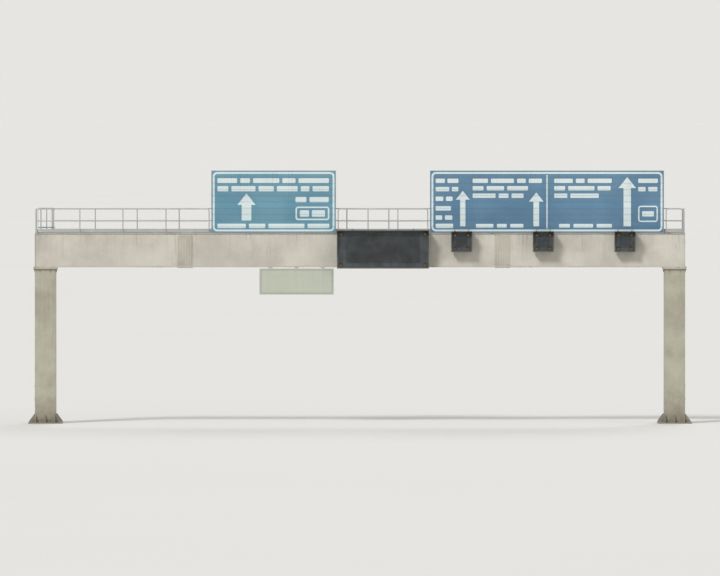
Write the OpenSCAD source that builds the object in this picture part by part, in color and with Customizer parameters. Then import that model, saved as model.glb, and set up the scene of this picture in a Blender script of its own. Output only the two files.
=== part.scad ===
// Overhead sign gantry: a steel box portal over a carriageway, with two large direction signs above
// the beam, a message sign and three lane signals on its front face, and a walkway behind the signs.
// All sizes are in millimetres. X runs along the beam, Z is up, and the sign faces look towards -Y.
// The origin is on the ground, in the middle of the part's box.

/* [Portal] */
// Distance between the centre lines of the two legs
leg_span = 28800; // [26000:100:36000]
// Height from the ground to the underside of the beam
clear_height = 7150; // [6500:50:9000]
// Width of a leg, measured along the beam
leg_w = 950; // [800:10:1200]
// Depth of a leg, measured across the beam
leg_d = 1100; // [900:10:1300]
// Height of the beam
beam_h = 1550; // [1350:10:1900]
// Width of the beam over its two webs
beam_w = 1200; // [1100:10:1500]
// Overhang of the beam's flange plates past the webs
flange_lip = 30; // [20:5:60]
// Thickness of the beam's flange plates
flange_t = 25; // [15:1:40]
// Thickness of the plates that bolt a leg to the beam
head_t = 40; // [25:1:60]
// Overhang of those plates past the leg
head_lip = 70; // [50:5:100]
// Height of the small gussets under a leg's head plate
head_rib_h = 180; // [100:10:300]
// Thickness of those gussets
head_rib_t = 12; // [8:1:20]
// Thickness of the plates that close the ends of the beam
end_t = 16; // [8:1:30]

/* [Bases] */
// Thickness of a base plate
base_t = 50; // [30:1:80]
// How far a base plate runs past its leg on every side
base_lip = 300; // [250:10:400]
// Diameter of a hole for a holding-down bolt
anchor_d = 48; // [30:1:60]
// Distance from the edge of the base plate to the holes
anchor_inset = 110; // [80:5:120]
// Height of the stiffening gussets on a base plate
gusset_h = 380; // [250:10:600]
// Thickness of the gussets
gusset_t = 20; // [12:1:30]
// Height of the gussets' outer edge and width of their top
gusset_toe = 40; // [20:5:60]
// Distance from the gussets' outer edge to the edge of the base plate
gusset_clear = 20; // [10:5:60]

/* [Leg doors] */
// Width of an access door in the outer face of a leg
door_w = 430; // [350:10:500]
// Height of an access door
door_h = 900; // [600:10:1200]
// Height of the door's lower edge above the ground
door_z = 950; // [700:10:1300]
// Thickness of the door plate
door_t = 12; // [6:1:20]
// Width of the raised frame around the door
door_frame = 50; // [30:5:70]
// Gap between the door and its frame
door_gap = 4; // [2:1:8]
// Radius of the door's corners
door_r = 26; // [15:1:40]
// How far the door's face lies below its frame
door_sink = 2; // [0:1:4]
// Diameter of the door's hinge barrels
hinge_d = 22; // [16:1:28]
// Length of a hinge barrel
hinge_l = 90; // [60:5:120]
// Diameter of the door's lock cover
lock_d = 36; // [24:1:50]

/* [Beam splices] */
// Distance from the left joint of the beam to the left sign
splice_start = 1200; // [500:50:2000]
// Length of the cover plates along the beam
splice_l = 700; // [500:10:900]
// Thickness of the cover plates
splice_t = 16; // [10:1:25]
// Distance from the cover plates to the beam's edges
splice_margin = 60; // [40:5:120]

/* [Walkway] */
// Thickness of the walkway plates
deck_t = 6; // [5:1:10]
// Height of the walkway's surface above the beam
deck_rise = 45; // [30:1:80]
// Length of one walkway plate
deck_l = 2400; // [1500:50:3000]
// Gap between two walkway plates
deck_gap = 10; // [4:1:20]
// Gap between the walkway plates and the feet of the posts and the guardrails
deck_clear = 20; // [10:1:40]

/* [Guardrails] */
// Height of the guardrails above the beam
rail_h = 1145; // [950:5:1250]
// Diameter of the rails and posts
tube_d = 48; // [40:1:60]
// Largest distance between two guardrail posts
rail_pitch = 2000; // [1200:50:2400]
// Side of the square foot plate under a post
foot_s = 84; // [70:2:100]
// Thickness of the foot plates
foot_t = 10; // [6:1:16]
// Distance from the edge of the beam to the middle of the rails
rail_inset = 50; // [50:1:60]
// Height of the toe board
toe_h = 150; // [100:5:200]
// Thickness of the toe board
toe_t = 6; // [4:1:10]
// Free length between a guardrail's end and its neighbour
rail_gap = 60; // [55:5:100]
// Radius of the bends at the ends of the top rail
rail_bend = 110; // [60:5:150]

/* [Ladder] */
// Width of the ladder between the middles of its stiles
ladder_w = 450; // [400:10:500]
// Depth of a stile, measured away from the leg
stile_d = 65; // [50:1:80]
// Thickness of a stile
stile_t = 12; // [8:1:16]
// Diameter of a rung
rung_d = 22; // [20:1:30]
// Distance from the ladder's lower end to its lowest bracket
ladder_bracket_low = 400; // [200:10:700]
// Distance from the leg's head plate to the ladder's highest bracket on the leg
ladder_bracket_high = 300; // [200:10:600]
// Number of brackets on the leg
ladder_bracket_n = 4; // [3:1:5]
// Height of a bracket that holds the ladder
ladder_bracket_h = 80; // [50:5:120]
// Width of the foot plates of the brackets
ladder_foot_w = 110; // [80:5:150]
// Thickness of those foot plates
ladder_foot_t = 10; // [6:1:14]
// Distance between two rungs
rung_pitch = 280; // [250:5:300]
// Height of the ladder's lower end above the ground
ladder_z = 350; // [250:10:600]
// Free space between the beam's rear edge and the ladder
ladder_gap = 180; // [150:5:250]
// Inside radius of the safety cage
cage_r = 375; // [330:5:400]
// Height of a cage hoop
hoop_h = 60; // [40:5:80]
// Thickness of the cage hoops
hoop_t = 8; // [5:1:10]
// Largest distance between two cage hoops
hoop_pitch = 950; // [700:10:1100]
// Height of the lowest cage hoop above the ground
cage_z = 2300; // [2100:10:2600]
// How far the lowest hoop stands outside the others
cage_flare = 60; // [20:5:90]
// Height of the part of the cage that widens towards its lower end
flare_h = 500; // [300:10:600]
// Width of the upright straps of the cage
strap_w = 40; // [30:1:60]
// Thickness of the upright straps
strap_t = 6; // [4:1:8]

/* [Direction signs] */
// Height of both direction signs
sign_h = 2850; // [2400:10:3200]
// Width of the left sign
sign_1_w = 5700; // [4800:10:6000]
// Number of posts behind the left sign
sign_1_posts = 3; // [2:1:4]
// Width of the right sign
sign_2_w = 10700; // [9000:10:10900]
// Distance from the right sign to the middle of the right leg
sign_2_end = 500; // [300:10:700]
// Distance between the two signs
sign_gap = 4300; // [3700:10:4400]
// Number of posts behind the right sign
sign_2_posts = 6; // [5:1:8]
// Gap between the top of the beam and the lower edge of a sign
sign_lift = 25; // [10:5:60]
// Nominal height of one sign plank
plank_h = 285; // [200:5:400]
// Thickness of a plank's face
plank_t = 4; // [3:1:6]
// Depth of a plank with its rear flanges
plank_d = 40; // [30:1:50]
// Height of the hooks on the planks' rear flanges
plank_hook = 14; // [8:1:20]
// Gap between the two panels of the right sign
panel_gap = 2; // [1:1:6]
// Width of the joint line between two planks
plank_joint = 4; // [2:1:6]
// Thickness of the edge trim around a sign
trim_t = 4; // [3:1:6]
// Width of the lip of the trim over the sign's face
trim_lip = 18; // [12:1:30]
// Width of an upright rail that ties the planks together
sign_rail_w = 80; // [60:2:100]
// Depth of that rail
sign_rail_d = 50; // [40:1:60]
// Wall of that rail
sign_rail_t = 5; // [3:1:6]
// Width of the brims by which that rail holds the planks
sign_rail_brim = 20; // [15:1:24]
// Number of rails from one post to the next, the one on the post included
sign_rail_n = 2; // [1:1:3]
// Width of a sign post, measured along the beam
post_w = 100; // [80:5:140]
// Depth of a sign post
post_d = 150; // [120:5:170]
// Distance from the end of a sign to its outer posts
post_edge = 500; // [300:10:800]
// Width of a post's foot plate
post_foot_w = 230; // [180:5:300]
// How far the posts stop below the top of the signs
post_drop = 220; // [50:10:500]
// Thickness of the cap on a post
post_cap_t = 6; // [3:1:10]
// Thickness of a post's foot plate
post_foot_t = 20; // [12:1:30]
// Thickness of the rib behind a post's foot
post_rib_t = 10; // [6:1:16]
// Height of the rib behind a post's foot
post_rib_h = 260; // [150:10:400]
// How far a post's foot plate and rib run past the post
post_rib_d = 90; // [60:5:90]

/* [Message sign] */
// Free length at either end of the message sign, between the ends of the direction signs
message_clear = 50; // [20:5:300]
// Height of the message sign
message_h = 1750; // [1500:10:1900]
// Depth of its case
message_d = 400; // [250:10:500]
// How far its case hangs below the beam
message_drop = 50; // [0:5:100]
// Depth of the hood over its face
message_hood = 220; // [120:5:300]

/* [Lane signals] */
// Side of a square lane signal
signal_s = 950; // [800:10:1050]
// Distance from the message sign to the first lane signal
signal_start = 1025; // [700:25:1300]
// Distance between two lane signals
signal_pitch = 3730; // [3600:10:3800]
// How far a lane signal stands above the beam
signal_rise = 100; // [0:5:150]
// Depth of a lane signal's case
signal_d = 320; // [200:10:400]
// Depth of the hood over a lane signal's face
signal_hood = 200; // [100:5:300]

/* [Cases and brackets] */
// Width of the border around a recessed face
bezel = 55; // [35:1:80]
// Depth of the recess behind the border
recess = 30; // [15:1:60]
// Thickness of a dark front panel
face_t = 12; // [5:1:14]
// Share of a case's height that the cheeks of its hood cover
cheek_share = 0.8; // [0.5:0.05:1]
// Thickness of the hoods
hood_t = 5; // [3:1:8]
// Outer diameter of the lanterns at the corners of the faces
lantern_d = 160; // [120:2:180]
// Wall of a lantern's ring and visor
lantern_t = 6; // [4:1:10]
// Height of a lantern's ring above the face
lantern_h = 24; // [16:1:40]
// Depth of a lantern's visor
visor_h = 100; // [60:5:140]
// Distance from the middle of a lantern to the edges of the face
lantern_inset = 115; // [100:5:150]
// Radius of a lifting eye, to the middle of its bar
eye_r = 28; // [20:1:36]
// Diameter of a lifting eye's bar
eye_d = 14; // [10:1:18]
// Free space between the beam's web and the back of a case
case_gap = 120; // [90:5:180]
// Width of a bracket's end plates
bracket_w = 150; // [100:5:200]
// Height of a bracket's end plates
bracket_h = 260; // [180:10:300]
// Distance from the ends of the message sign to its brackets
bracket_edge = 840; // [400:10:1000]
// Distance between the message sign's upper and lower brackets
bracket_step = 868; // [600:2:1000]
// Thickness of a bracket's plates
bracket_t = 12; // [8:1:16]

/* [Hanging plate] */
// Width of the plate below the beam
hanging_w = 3400; // [2800:10:3440]
// Height of that plate
hanging_h = 1200; // [900:10:1400]
// Distance from that plate to the message sign
hanging_end = 150; // [60:10:300]
// Gap between the plate and the beam's underside
hanging_gap = 50; // [30:5:100]
// Thickness of the plate
hanging_t = 4; // [3:1:8]
// Width of the channels that carry it
hanger_w = 80; // [60:2:120]
// Depth of those channels
hanger_d = 60; // [40:2:80]
// Wall of those channels
hanger_t = 6; // [4:1:8]
// Distance from the plate's lower edge to the channels' ends
hanger_z = 60; // [20:5:150]
// Width of the cap plate that bolts a channel to the beam
cap_w = 220; // [160:5:300]
// Distance from the plate's end to its outer channels
hanger_edge = 500; // [300:10:700]

/* [Cable trunking] */
// Height of the trunking on the rear of the beam
trunk_h = 150; // [100:5:200]
// Depth of the trunking
trunk_d = 75; // [50:5:120]
// Free space between the beam and the trunking
trunk_gap = 40; // [30:1:80]
// Thickness of the trunking's lid
trunk_lid_t = 3; // [2:1:5]
// Largest distance between two trunking feet
trunk_pitch = 1500; // [1000:50:2000]
// Width of a junction box
box_w = 320; // [250:10:400]
// Height of a junction box
box_h = 420; // [300:10:450]
// Depth of a junction box
box_d = 180; // [120:5:250]
// Drop of the junction boxes below the trunking
box_drop = 120; // [60:5:150]
// Diameter of the conduits between the boxes and the trunking
conduit_d = 40; // [25:1:60]
// Diameter of the cable glands below a junction box
gland_d = 28; // [20:1:36]
// Length of a cable gland
gland_l = 30; // [15:1:45]
// Width of the feet under the trunking and the boxes
trunk_foot = 60; // [40:5:80]
// Overhang of the lids of the trunking and the boxes
lid_lip = 8; // [4:1:12]

/* [Hidden] */
$fn = 32;

// Finishes
paint = "#beb9ab";
zinc = "#a7aaaa";
alloy = "#b4b8b9";
dark = "#2b2e2f";
display = "#17191a";
pale = "#c9cfc3";

// Small values that more than one piece uses
seat = 0.3;
fuse = 1;

// Heights
beam_z0 = clear_height;
beam_z1 = clear_height + beam_h;
beam_mid_z = (beam_z0 + beam_z1) / 2;
leg_top = clear_height - 2 * head_t;

// Depths, measured from the middle of the beam
web_y = beam_w / 2;
edge_y = web_y + flange_lip;
ladder_y = edge_y + ladder_gap;
cage_off = sqrt(pow(cage_r, 2) - pow(ladder_w / 2, 2));
cage_y = ladder_y + stile_d + cage_off;
front_reach = web_y + case_gap + message_d + message_hood;
back_reach = cage_y + cage_r + cage_flare + hoop_t;

// The middle of the beam, placed so that the part's box is centred on the origin
line_y = (front_reach - back_reach) / 2;

// Lengths along the beam
leg_x = leg_span / 2;
end_x = leg_x + leg_w / 2;
base_w = leg_w + 2 * base_lip;
base_d = leg_d + 2 * base_lip;
sign_z0 = beam_z1 + sign_lift;

// Where the guardrails stop: at the beam's ends and beside the ladder
ladder_x = -leg_x;
rail_end = end_x - rail_inset;
rail_start = ladder_x + ladder_w / 2 + stile_t + rail_gap;

// The signs' ends, counted from the right leg
sign_2_x1 = leg_x - sign_2_end;
sign_2_x0 = sign_2_x1 - sign_2_w;
sign_2_mid = (sign_2_x0 + sign_2_x1) / 2;
sign_1_x1 = sign_2_x0 - sign_gap;
sign_1_x0 = sign_1_x1 - sign_1_w;

// The message sign fills the space between them, with the lane signals after it and the hanging
// plate before it
message_w = sign_gap - 2 * message_clear;
message_x = (sign_1_x1 + sign_2_x0) / 2;
signal_x = message_x + message_w / 2 + signal_start + signal_s / 2;
signals = [for (i = [0:2]) signal_x + i * signal_pitch];
hanging_x = message_x - message_w / 2 - hanging_end - hanging_w / 2;

// The beam's joints: left of the left sign, and halfway between the first two lane signals
splice_left_x = sign_1_x0 - splice_start;
splice_right_x = (signals[0] + signals[1]) / 2;

// Places of the sign's layers, from its face back to its posts
sign_face_y = -edge_y;
sign_rail_y = sign_face_y + plank_d;
post_y = sign_rail_y + sign_rail_d;

// n points spread evenly from a to b
function spread(a, b, n) = [for (i = [0:n - 1]) a + (b - a) * i / (n - 1)];
// The number of points that keeps each step from a to b within a pitch
function steps(a, b, pitch) = max(1, ceil((b - a) / pitch)) + 1;

// A box given by its lowest and highest corners
module block(lo, hi) {
    translate(lo) cube([hi[0] - lo[0], hi[1] - lo[1], hi[2] - lo[2]]);
}

// A box centred on x and y, standing on z
module pad(x, y, z, size) {
    translate([x - size[0] / 2, y - size[1] / 2, z]) cube(size);
}

// A bar along X whose cross-section is drawn as depth and height
module bar_x(x0, x1) {
    translate([x0, 0, 0]) rotate([90, 0, 90]) linear_extrude(height = x1 - x0) children();
}

// A round tube between two heights
module upright_tube(x, y, z0, z1) {
    translate([x, y, z0]) cylinder(d = tube_d, h = z1 - z0);
}

// Legs

// A triangular stiffener in the corner between a plate below it and a face at its left
module gusset(run, height, toe, thickness) {
    rotate([90, 0, 0]) translate([0, 0, -thickness / 2]) linear_extrude(height = thickness)
        polygon([[0, 0], [run, 0], [run, toe], [toe, height], [0, height]]);
}

// The plate with its holding-down holes and stiffeners, centred on a leg
module base(x) {
    run = base_lip - gusset_clear;
    holes_x = spread(-base_w / 2 + anchor_inset, base_w / 2 - anchor_inset, 4);
    holes_y = spread(-base_d / 2 + anchor_inset, base_d / 2 - anchor_inset, 4);
    color(paint) translate([x, line_y, 0]) {
        difference() {
            pad(0, 0, 0, [base_w, base_d, base_t]);
            for (i = [0:3], j = [0:3])
                if (i == 0 || i == 3 || j == 0 || j == 3)
                    translate([holes_x[i], holes_y[j], -1]) cylinder(d = anchor_d, h = base_t + 2);
        }
        for (s = [-1, 1], t = [-1, 0, 1]) {
            translate([t * (leg_w / 2 - gusset_toe), s * leg_d / 2, base_t]) rotate([0, 0, s * 90])
                gusset(run, gusset_h, gusset_toe, gusset_t);
            translate([s * leg_w / 2, t * (leg_d / 2 - gusset_toe), base_t]) rotate([0, 0, 90 - s * 90])
                gusset(run, gusset_h, gusset_toe, gusset_t);
        }
    }
}

// A box leg with its head plate and the raised frame of its access door on the outer face
module leg(side) {
    x = side * leg_x;
    face = side * (leg_x + leg_w / 2);
    color(paint) translate([0, line_y, 0]) {
        pad(x, 0, base_t, [leg_w, leg_d, leg_top - base_t]);
        pad(x, 0, leg_top, [leg_w + 2 * head_lip, leg_d + 2 * head_lip, head_t]);
        translate([x, 0, leg_top]) mirror([0, 0, 1]) for (s = [-1, 1], t = [-1, 1]) {
            translate([t * leg_w / 4, s * leg_d / 2, 0]) rotate([0, 0, s * 90])
                gusset(head_lip - head_rib_t, head_rib_h, head_rib_t, head_rib_t);
            translate([s * leg_w / 2, t * leg_d / 4, 0]) rotate([0, 0, 90 - s * 90])
                gusset(head_lip - head_rib_t, head_rib_h, head_rib_t, head_rib_t);
        }
        translate([face, 0, door_z + door_h / 2]) rotate([0, side * 90, 0])
            translate([0, 0, -fuse]) linear_extrude(height = door_t + fuse) difference() {
                rounded(door_h + 2 * door_frame, door_w + 2 * door_frame, door_r + door_frame);
                rounded(door_h + 2 * door_gap, door_w + 2 * door_gap, door_r + door_gap);
            }
    }
}

// A rectangle with round corners, centred on its middle
module rounded(w, h, r) {
    for (s = [-1, 1], t = [-1, 1])
        translate([s * (w / 2 - r), t * (h / 2 - r)]) circle(r = r);
    square([w - 2 * r, h], center = true);
    square([w, h - 2 * r], center = true);
}

// The closed access door, inside its frame, with two hinge barrels and a lock cover
module leg_door(side) {
    face = side * (leg_x + leg_w / 2);
    plate_t = door_t - door_sink;
    color(paint) translate([face, line_y, door_z + door_h / 2]) rotate([0, side * 90, 0]) {
        linear_extrude(height = plate_t) rounded(door_h, door_w, door_r);
        for (s = [-1, 1])
            translate([s * door_h / 3 - hinge_l / 2, hinge_d / 2 - door_w / 2 + fuse, plate_t + hinge_d / 4])
                rotate([0, 90, 0]) cylinder(d = hinge_d, h = hinge_l);
        translate([0, door_w / 2 - lock_d, 0]) cylinder(d = lock_d, h = plate_t + lock_d / 4);
    }
}

// Beam

// Cross-section of the beam: two webs closed by wider flange plates
module beam_section() {
    translate([-web_y, beam_z0]) square([beam_w, beam_h]);
    for (z = [beam_z0, beam_z1 - flange_t])
        translate([-edge_y, z]) square([2 * edge_y, flange_t]);
}

module beam(x0, x1) {
    bar_x(x0, x1) translate([line_y, 0]) beam_section();
}

// The plate that closes an end of the beam
module end_plate(side) {
    x = side * (end_x - end_t / 2);
    pad(x, line_y, beam_z0, [end_t, 2 * edge_y, beam_h]);
}

// The plate under the beam's end that is bolted to the head of a leg
module sole(side) {
    pad(side * leg_x, line_y, leg_top + head_t, [leg_w + 2 * head_lip, leg_d + 2 * head_lip, head_t]);
}

module beam_left() {
    color(paint) {
        beam(-end_x, splice_left_x);
        end_plate(-1);
        sole(-1);
    }
}

module beam_middle() {
    color(paint) beam(splice_left_x, splice_right_x);
}

module beam_right() {
    color(paint) {
        beam(splice_right_x, end_x);
        end_plate(1);
        sole(1);
    }
}

// Cover plates on both webs and under the lower flange
module splice(x) {
    x0 = x - splice_l / 2;
    x1 = x + splice_l / 2;
    color(paint) translate([0, line_y, 0]) {
        for (s = [-1, 1])
            block([x0, s * (web_y + splice_t / 2) - splice_t / 2, beam_z0 + flange_t + splice_margin],
                  [x1, s * (web_y + splice_t / 2) + splice_t / 2, beam_z1 - flange_t - splice_margin]);
        block([x0, splice_margin - web_y, beam_z0 - splice_t], [x1, web_y - splice_margin, beam_z0]);
    }
}

// Walkway

// Folded plates laid end to end on the beam
module walkway_deck() {
    y0 = post_y + post_d + post_rib_d + deck_clear;
    y1 = edge_y - rail_inset - foot_s / 2 - deck_clear;
    length = 2 * (end_x - rail_inset - foot_s / 2 - deck_clear);
    n = ceil(length / deck_l);
    step = length / n;
    color(zinc) for (i = [0:n - 1])
        bar_x(-length / 2 + i * step, -length / 2 + (i + 1) * step - deck_gap)
            translate([line_y, beam_z1]) {
                translate([y0, deck_rise - deck_t]) square([y1 - y0, deck_t]);
                for (y = [y0, (y0 + y1 - deck_t) / 2, y1 - deck_t])
                    translate([y, 0]) square([deck_t, deck_rise]);
            }
}

// A level tube along X between two places
module level_tube(x0, x1, z) {
    translate([x0, 0, z]) rotate([0, 90, 0]) cylinder(d = tube_d, h = x1 - x0);
}

// The quarter bend that leads from an end post into the top rail
module rail_corner(x, side) {
    translate([x - side * rail_bend, 0, rail_h - tube_d / 2 - rail_bend])
        rotate([90, 0, 0]) rotate([0, 0, 45 - side * 45]) rotate_extrude(angle = 90)
            translate([rail_bend, 0]) circle(d = tube_d);
}

// A straight guardrail of the given length along X, from the origin, with its toe board on the
// side that toe names
module guardrail(length, toe) {
    top = rail_h - tube_d / 2;
    x0 = foot_s / 2;
    x1 = length - foot_s / 2;
    places = spread(x0, x1, steps(0, length, rail_pitch));
    last = len(places) - 1;
    for (i = [0:last]) {
        pad(places[i], 0, 0, [foot_s, foot_s, foot_t]);
        upright_tube(places[i], 0, 0, i == 0 || i == last ? top - rail_bend : top);
    }
    rail_corner(x0, -1);
    rail_corner(x1, 1);
    level_tube(x0 + rail_bend, x1 - rail_bend, top);
    level_tube(x0, x1, rail_h / 2);
    translate([0, toe * (tube_d / 2 + toe_t / 2 - fuse) - toe_t / 2, deck_rise])
        cube([length, toe_t, toe_h]);
}

// A guardrail along the front or the back edge of the beam
module edge_rail(x0, x1, side) {
    color(zinc) translate([x0, line_y + side * (edge_y - rail_inset), beam_z1]) guardrail(x1 - x0, -side);
}

// A guardrail across an end of the beam
module end_rail(side) {
    run = 2 * (edge_y - rail_inset - foot_s / 2 - rail_gap);
    color(zinc) translate([side * (end_x - rail_inset), line_y - run / 2, beam_z1])
        rotate([0, 0, 90]) guardrail(run, side);
}

// Ladder

// A flat bar with a foot plate, from a face of the gantry to a stile
module ladder_bracket(x, y, z) {
    block([x - stile_t / 2, y, z], [x + stile_t / 2, ladder_y + fuse, z + ladder_bracket_h]);
    block([x - ladder_foot_w / 2, y, z - ladder_foot_t],
          [x + ladder_foot_w / 2, y + ladder_foot_t, z + ladder_bracket_h + ladder_foot_t]);
}

// Stiles, rungs and the brackets that hold the ladder to the leg and the beam
module ladder() {
    z1 = beam_z1 + rail_h;
    rungs = floor((beam_z1 + deck_rise - ladder_z - rung_pitch / 2) / rung_pitch);
    brackets = spread(ladder_z + ladder_bracket_low, leg_top - ladder_bracket_high, ladder_bracket_n);
    color(zinc) translate([ladder_x, line_y, 0]) {
        for (s = [-1, 1]) {
            pad(s * ladder_w / 2, ladder_y + stile_d / 2, ladder_z, [stile_t, stile_d, z1 - ladder_z]);
            for (z = brackets)
                ladder_bracket(s * ladder_w / 2, leg_d / 2, z);
            ladder_bracket(s * ladder_w / 2, web_y, beam_mid_z);
        }
        for (i = [0:rungs])
            translate([-ladder_w / 2, ladder_y + stile_d / 2, ladder_z + rung_pitch * (i + 0.5)])
                rotate([0, 90, 0]) cylinder(d = rung_d, h = ladder_w);
    }
}

// A cage hoop of the given inside radius, open towards the ladder
module hoop(r) {
    linear_extrude(height = hoop_h) difference() {
        circle(r = r + hoop_t, $fn = 96);
        circle(r = r, $fn = 96);
        translate([-2 * r, -cage_off - 2 * r]) square([4 * r, 2 * r]);
    }
}

// Hoops behind the ladder, joined by upright straps that spread out towards the lowest hoop
module ladder_cage() {
    z1 = beam_z1 + rail_h - hoop_h;
    wide = cage_r + cage_flare;
    wide_x = sqrt(pow(wide, 2) - pow(cage_off, 2));
    z0 = cage_z + flare_h;
    color(zinc) translate([ladder_x, line_y + cage_y, 0]) {
        for (z = spread(z0, z1, steps(z0, z1, hoop_pitch)))
            translate([0, 0, z]) hoop(cage_r);
        translate([0, 0, cage_z]) hoop(wide);
        for (s = [-1, 1])
            pad(s * (ladder_w / 2 + wide_x) / 2, hoop_t / 2 - cage_off, cage_z,
                [wide_x - ladder_w / 2 + hoop_t, hoop_t, hoop_h]);
        for (a = [0, 45, 90, 135, 180]) rotate([0, 0, a])
            rotate([90, 0, 0]) translate([0, 0, -strap_w / 2]) linear_extrude(height = strap_w)
                polygon([[cage_r - strap_t, z1 + hoop_h], [cage_r - strap_t, z0], [wide - strap_t, cage_z],
                         [wide + fuse, cage_z], [cage_r + fuse, z0], [cage_r + fuse, z1 + hoop_h]]);
    }
}

// Direction signs

// Cross-section of planks stacked to a height: face, joint line and hooked rear flanges
module plank_section(height) {
    n = round(height / plank_h);
    h = height / n;
    for (i = [0:n - 1]) translate([0, i * h]) {
        translate([0, plank_joint / 2]) square([plank_t, h - plank_joint]);
        translate([plank_t / 2, 0]) square([plank_t / 2, h]);
        for (z = [h * 0.2, h * 0.8 - plank_t]) {
            translate([0, z]) square([plank_d, plank_t]);
            translate([plank_d - plank_t, z + plank_t / 2 - plank_hook / 2]) square([plank_t, plank_hook]);
        }
    }
}

// The planks of one panel between two places along the beam
module planks(x0, x1) {
    z0 = sign_z0 + trim_t + seat;
    color(alloy) bar_x(x0, x1) translate([line_y + sign_face_y, z0])
        plank_section(sign_h - 2 * trim_t - 2 * seat);
}

// The channel-shaped edging around a whole sign
module sign_trim(x0, x1) {
    y0 = sign_face_y - trim_t;
    color(alloy) translate([0, line_y, 0]) difference() {
        block([x0, y0, sign_z0], [x1, sign_rail_y, sign_z0 + sign_h]);
        block([x0 + trim_t, sign_face_y, sign_z0 + trim_t],
              [x1 - trim_t, sign_rail_y + 1, sign_z0 + sign_h - trim_t]);
        block([x0 + trim_lip, y0 - 1, sign_z0 + trim_lip],
              [x1 - trim_lip, sign_face_y + 1, sign_z0 + sign_h - trim_lip]);
    }
}

// Cross-section of a hat-shaped rail, from its brims on the planks back to its crown
module rail_section() {
    wall = sign_rail_t;
    brim = sign_rail_brim;
    for (s = [-1, 1]) {
        translate([s * (sign_rail_w - brim) / 2 - brim / 2, 0]) square([brim, wall]);
        translate([s * (sign_rail_w / 2 - brim) - wall / 2, 0]) square([wall, sign_rail_d]);
    }
    translate([brim - sign_rail_w / 2 - wall / 2, sign_rail_d - wall])
        square([sign_rail_w - 2 * brim + wall, wall]);
}

// Upright rails that tie the planks together, on the posts and between them
module sign_rails(x0, x1, posts) {
    n = (posts - 1) * sign_rail_n + 1;
    color(zinc) for (x = spread(x0 + post_edge, x1 - post_edge, n))
        translate([x, line_y + sign_rail_y, sign_z0 + trim_t + seat])
            linear_extrude(height = sign_h - 2 * trim_t - 2 * seat) rail_section();
}

// Box posts that stand on the beam's front edge, with foot plates and rear ribs
module sign_posts(x0, x1, posts) {
    foot_y0 = post_y - sign_rail_d;
    foot_y1 = post_y + post_d + post_rib_d;
    z1 = sign_z0 + sign_h - post_drop;
    color(zinc) translate([0, line_y, 0]) for (x = spread(x0 + post_edge, x1 - post_edge, posts)) {
        block([x - post_w / 2, post_y, beam_z1], [x + post_w / 2, post_y + post_d, z1]);
        pad(x, post_y + post_d / 2, z1, [post_w + post_cap_t, post_d, post_cap_t]);
        block([x - post_foot_w / 2, foot_y0, beam_z1],
              [x + post_foot_w / 2, foot_y1, beam_z1 + post_foot_t]);
        translate([x + post_rib_t / 2, post_y + post_d, beam_z1 + post_foot_t]) rotate([90, 0, -90])
            linear_extrude(height = post_rib_t) polygon([[0, 0], [-post_rib_d, 0], [0, post_rib_h]]);
    }
}

// Message sign and lane signals

// A lifting eye that stands on the top of a case
module lifting_eye(x, y, z) {
    translate([x, y, z]) cylinder(r = eye_r * 0.8, h = eye_d);
    translate([x, y, z + eye_r + eye_d]) rotate([90, 0, 0]) rotate_extrude()
        translate([eye_r, 0]) circle(d = eye_d);
}

// A closed case with a recessed front, given by its middle, lower edge and size
module case(x, z, size) {
    y1 = -web_y - case_gap;
    y0 = y1 - size[1];
    color(dark) translate([0, line_y, 0]) {
        difference() {
            block([x - size[0] / 2, y0, z], [x + size[0] / 2, y1, z + size[2]]);
            block([x - size[0] / 2 + bezel, y0 - 1, z + bezel],
                  [x + size[0] / 2 - bezel, y0 + recess, z + size[2] - bezel]);
        }
        for (s = [-1, 1])
            lifting_eye(x + s * size[0] / 3, (y0 + y1) / 2, z + size[2]);
    }
}

// A lantern's ring and the visor over its upper half, standing out of a face
module lantern() {
    rotate([90, 0, 0]) {
        difference() {
            cylinder(d = lantern_d, h = lantern_h);
            translate([0, 0, lantern_t]) cylinder(d = lantern_d - 2 * lantern_t, h = lantern_h);
        }
        difference() {
            cylinder(d = lantern_d, h = visor_h);
            translate([0, 0, -1]) cylinder(d = lantern_d - 2 * lantern_t, h = visor_h + 2);
            translate([-lantern_d, -2 * lantern_d, -1]) cube([2 * lantern_d, 2 * lantern_d, visor_h + 2]);
        }
    }
}

// The dark front panel that sits in a case's recess, with a lantern at each corner
module face(x, z, size) {
    y = -web_y - case_gap - size[1] + recess;
    dx = size[0] / 2 - bezel - lantern_inset;
    dz = size[2] / 2 - bezel - lantern_inset;
    color(display) translate([0, line_y, 0]) {
        block([x - size[0] / 2 + bezel + seat, y - face_t, z + bezel + seat],
              [x + size[0] / 2 - bezel - seat, y, z + size[2] - bezel - seat]);
        for (s = [-1, 1], t = [-1, 1])
            translate([x + s * dx, y - face_t, z + size[2] / 2 + t * dz]) lantern();
    }
}

// A folded hood on the front of a case: a top sheet and two tapered cheeks
module hood(x, z, size, reach) {
    y = -web_y - case_gap - size[1];
    top = z + size[2];
    color(dark) translate([0, line_y, 0]) {
        block([x - size[0] / 2, y - reach, top - hood_t], [x + size[0] / 2, y, top]);
        for (x1 = [x - size[0] / 2 + hood_t, x + size[0] / 2])
            translate([x1, y, top]) rotate([90, 0, -90]) linear_extrude(height = hood_t)
                polygon([[0, 0], [reach, 0], [reach, -bezel / 2], [0, -size[2] * cheek_share]]);
    }
}

// A bracket between the beam's web and the back of a case
module bracket(x, z) {
    y0 = -web_y - case_gap;
    color(paint) translate([x, line_y, z]) {
        for (y = [y0, -web_y - bracket_t])
            translate([-bracket_w / 2, y, -bracket_h / 2]) cube([bracket_w, bracket_t, bracket_h]);
        translate([-bracket_t / 2, y0, -bracket_h / 2]) cube([bracket_t, case_gap, bracket_h]);
    }
}

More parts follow.
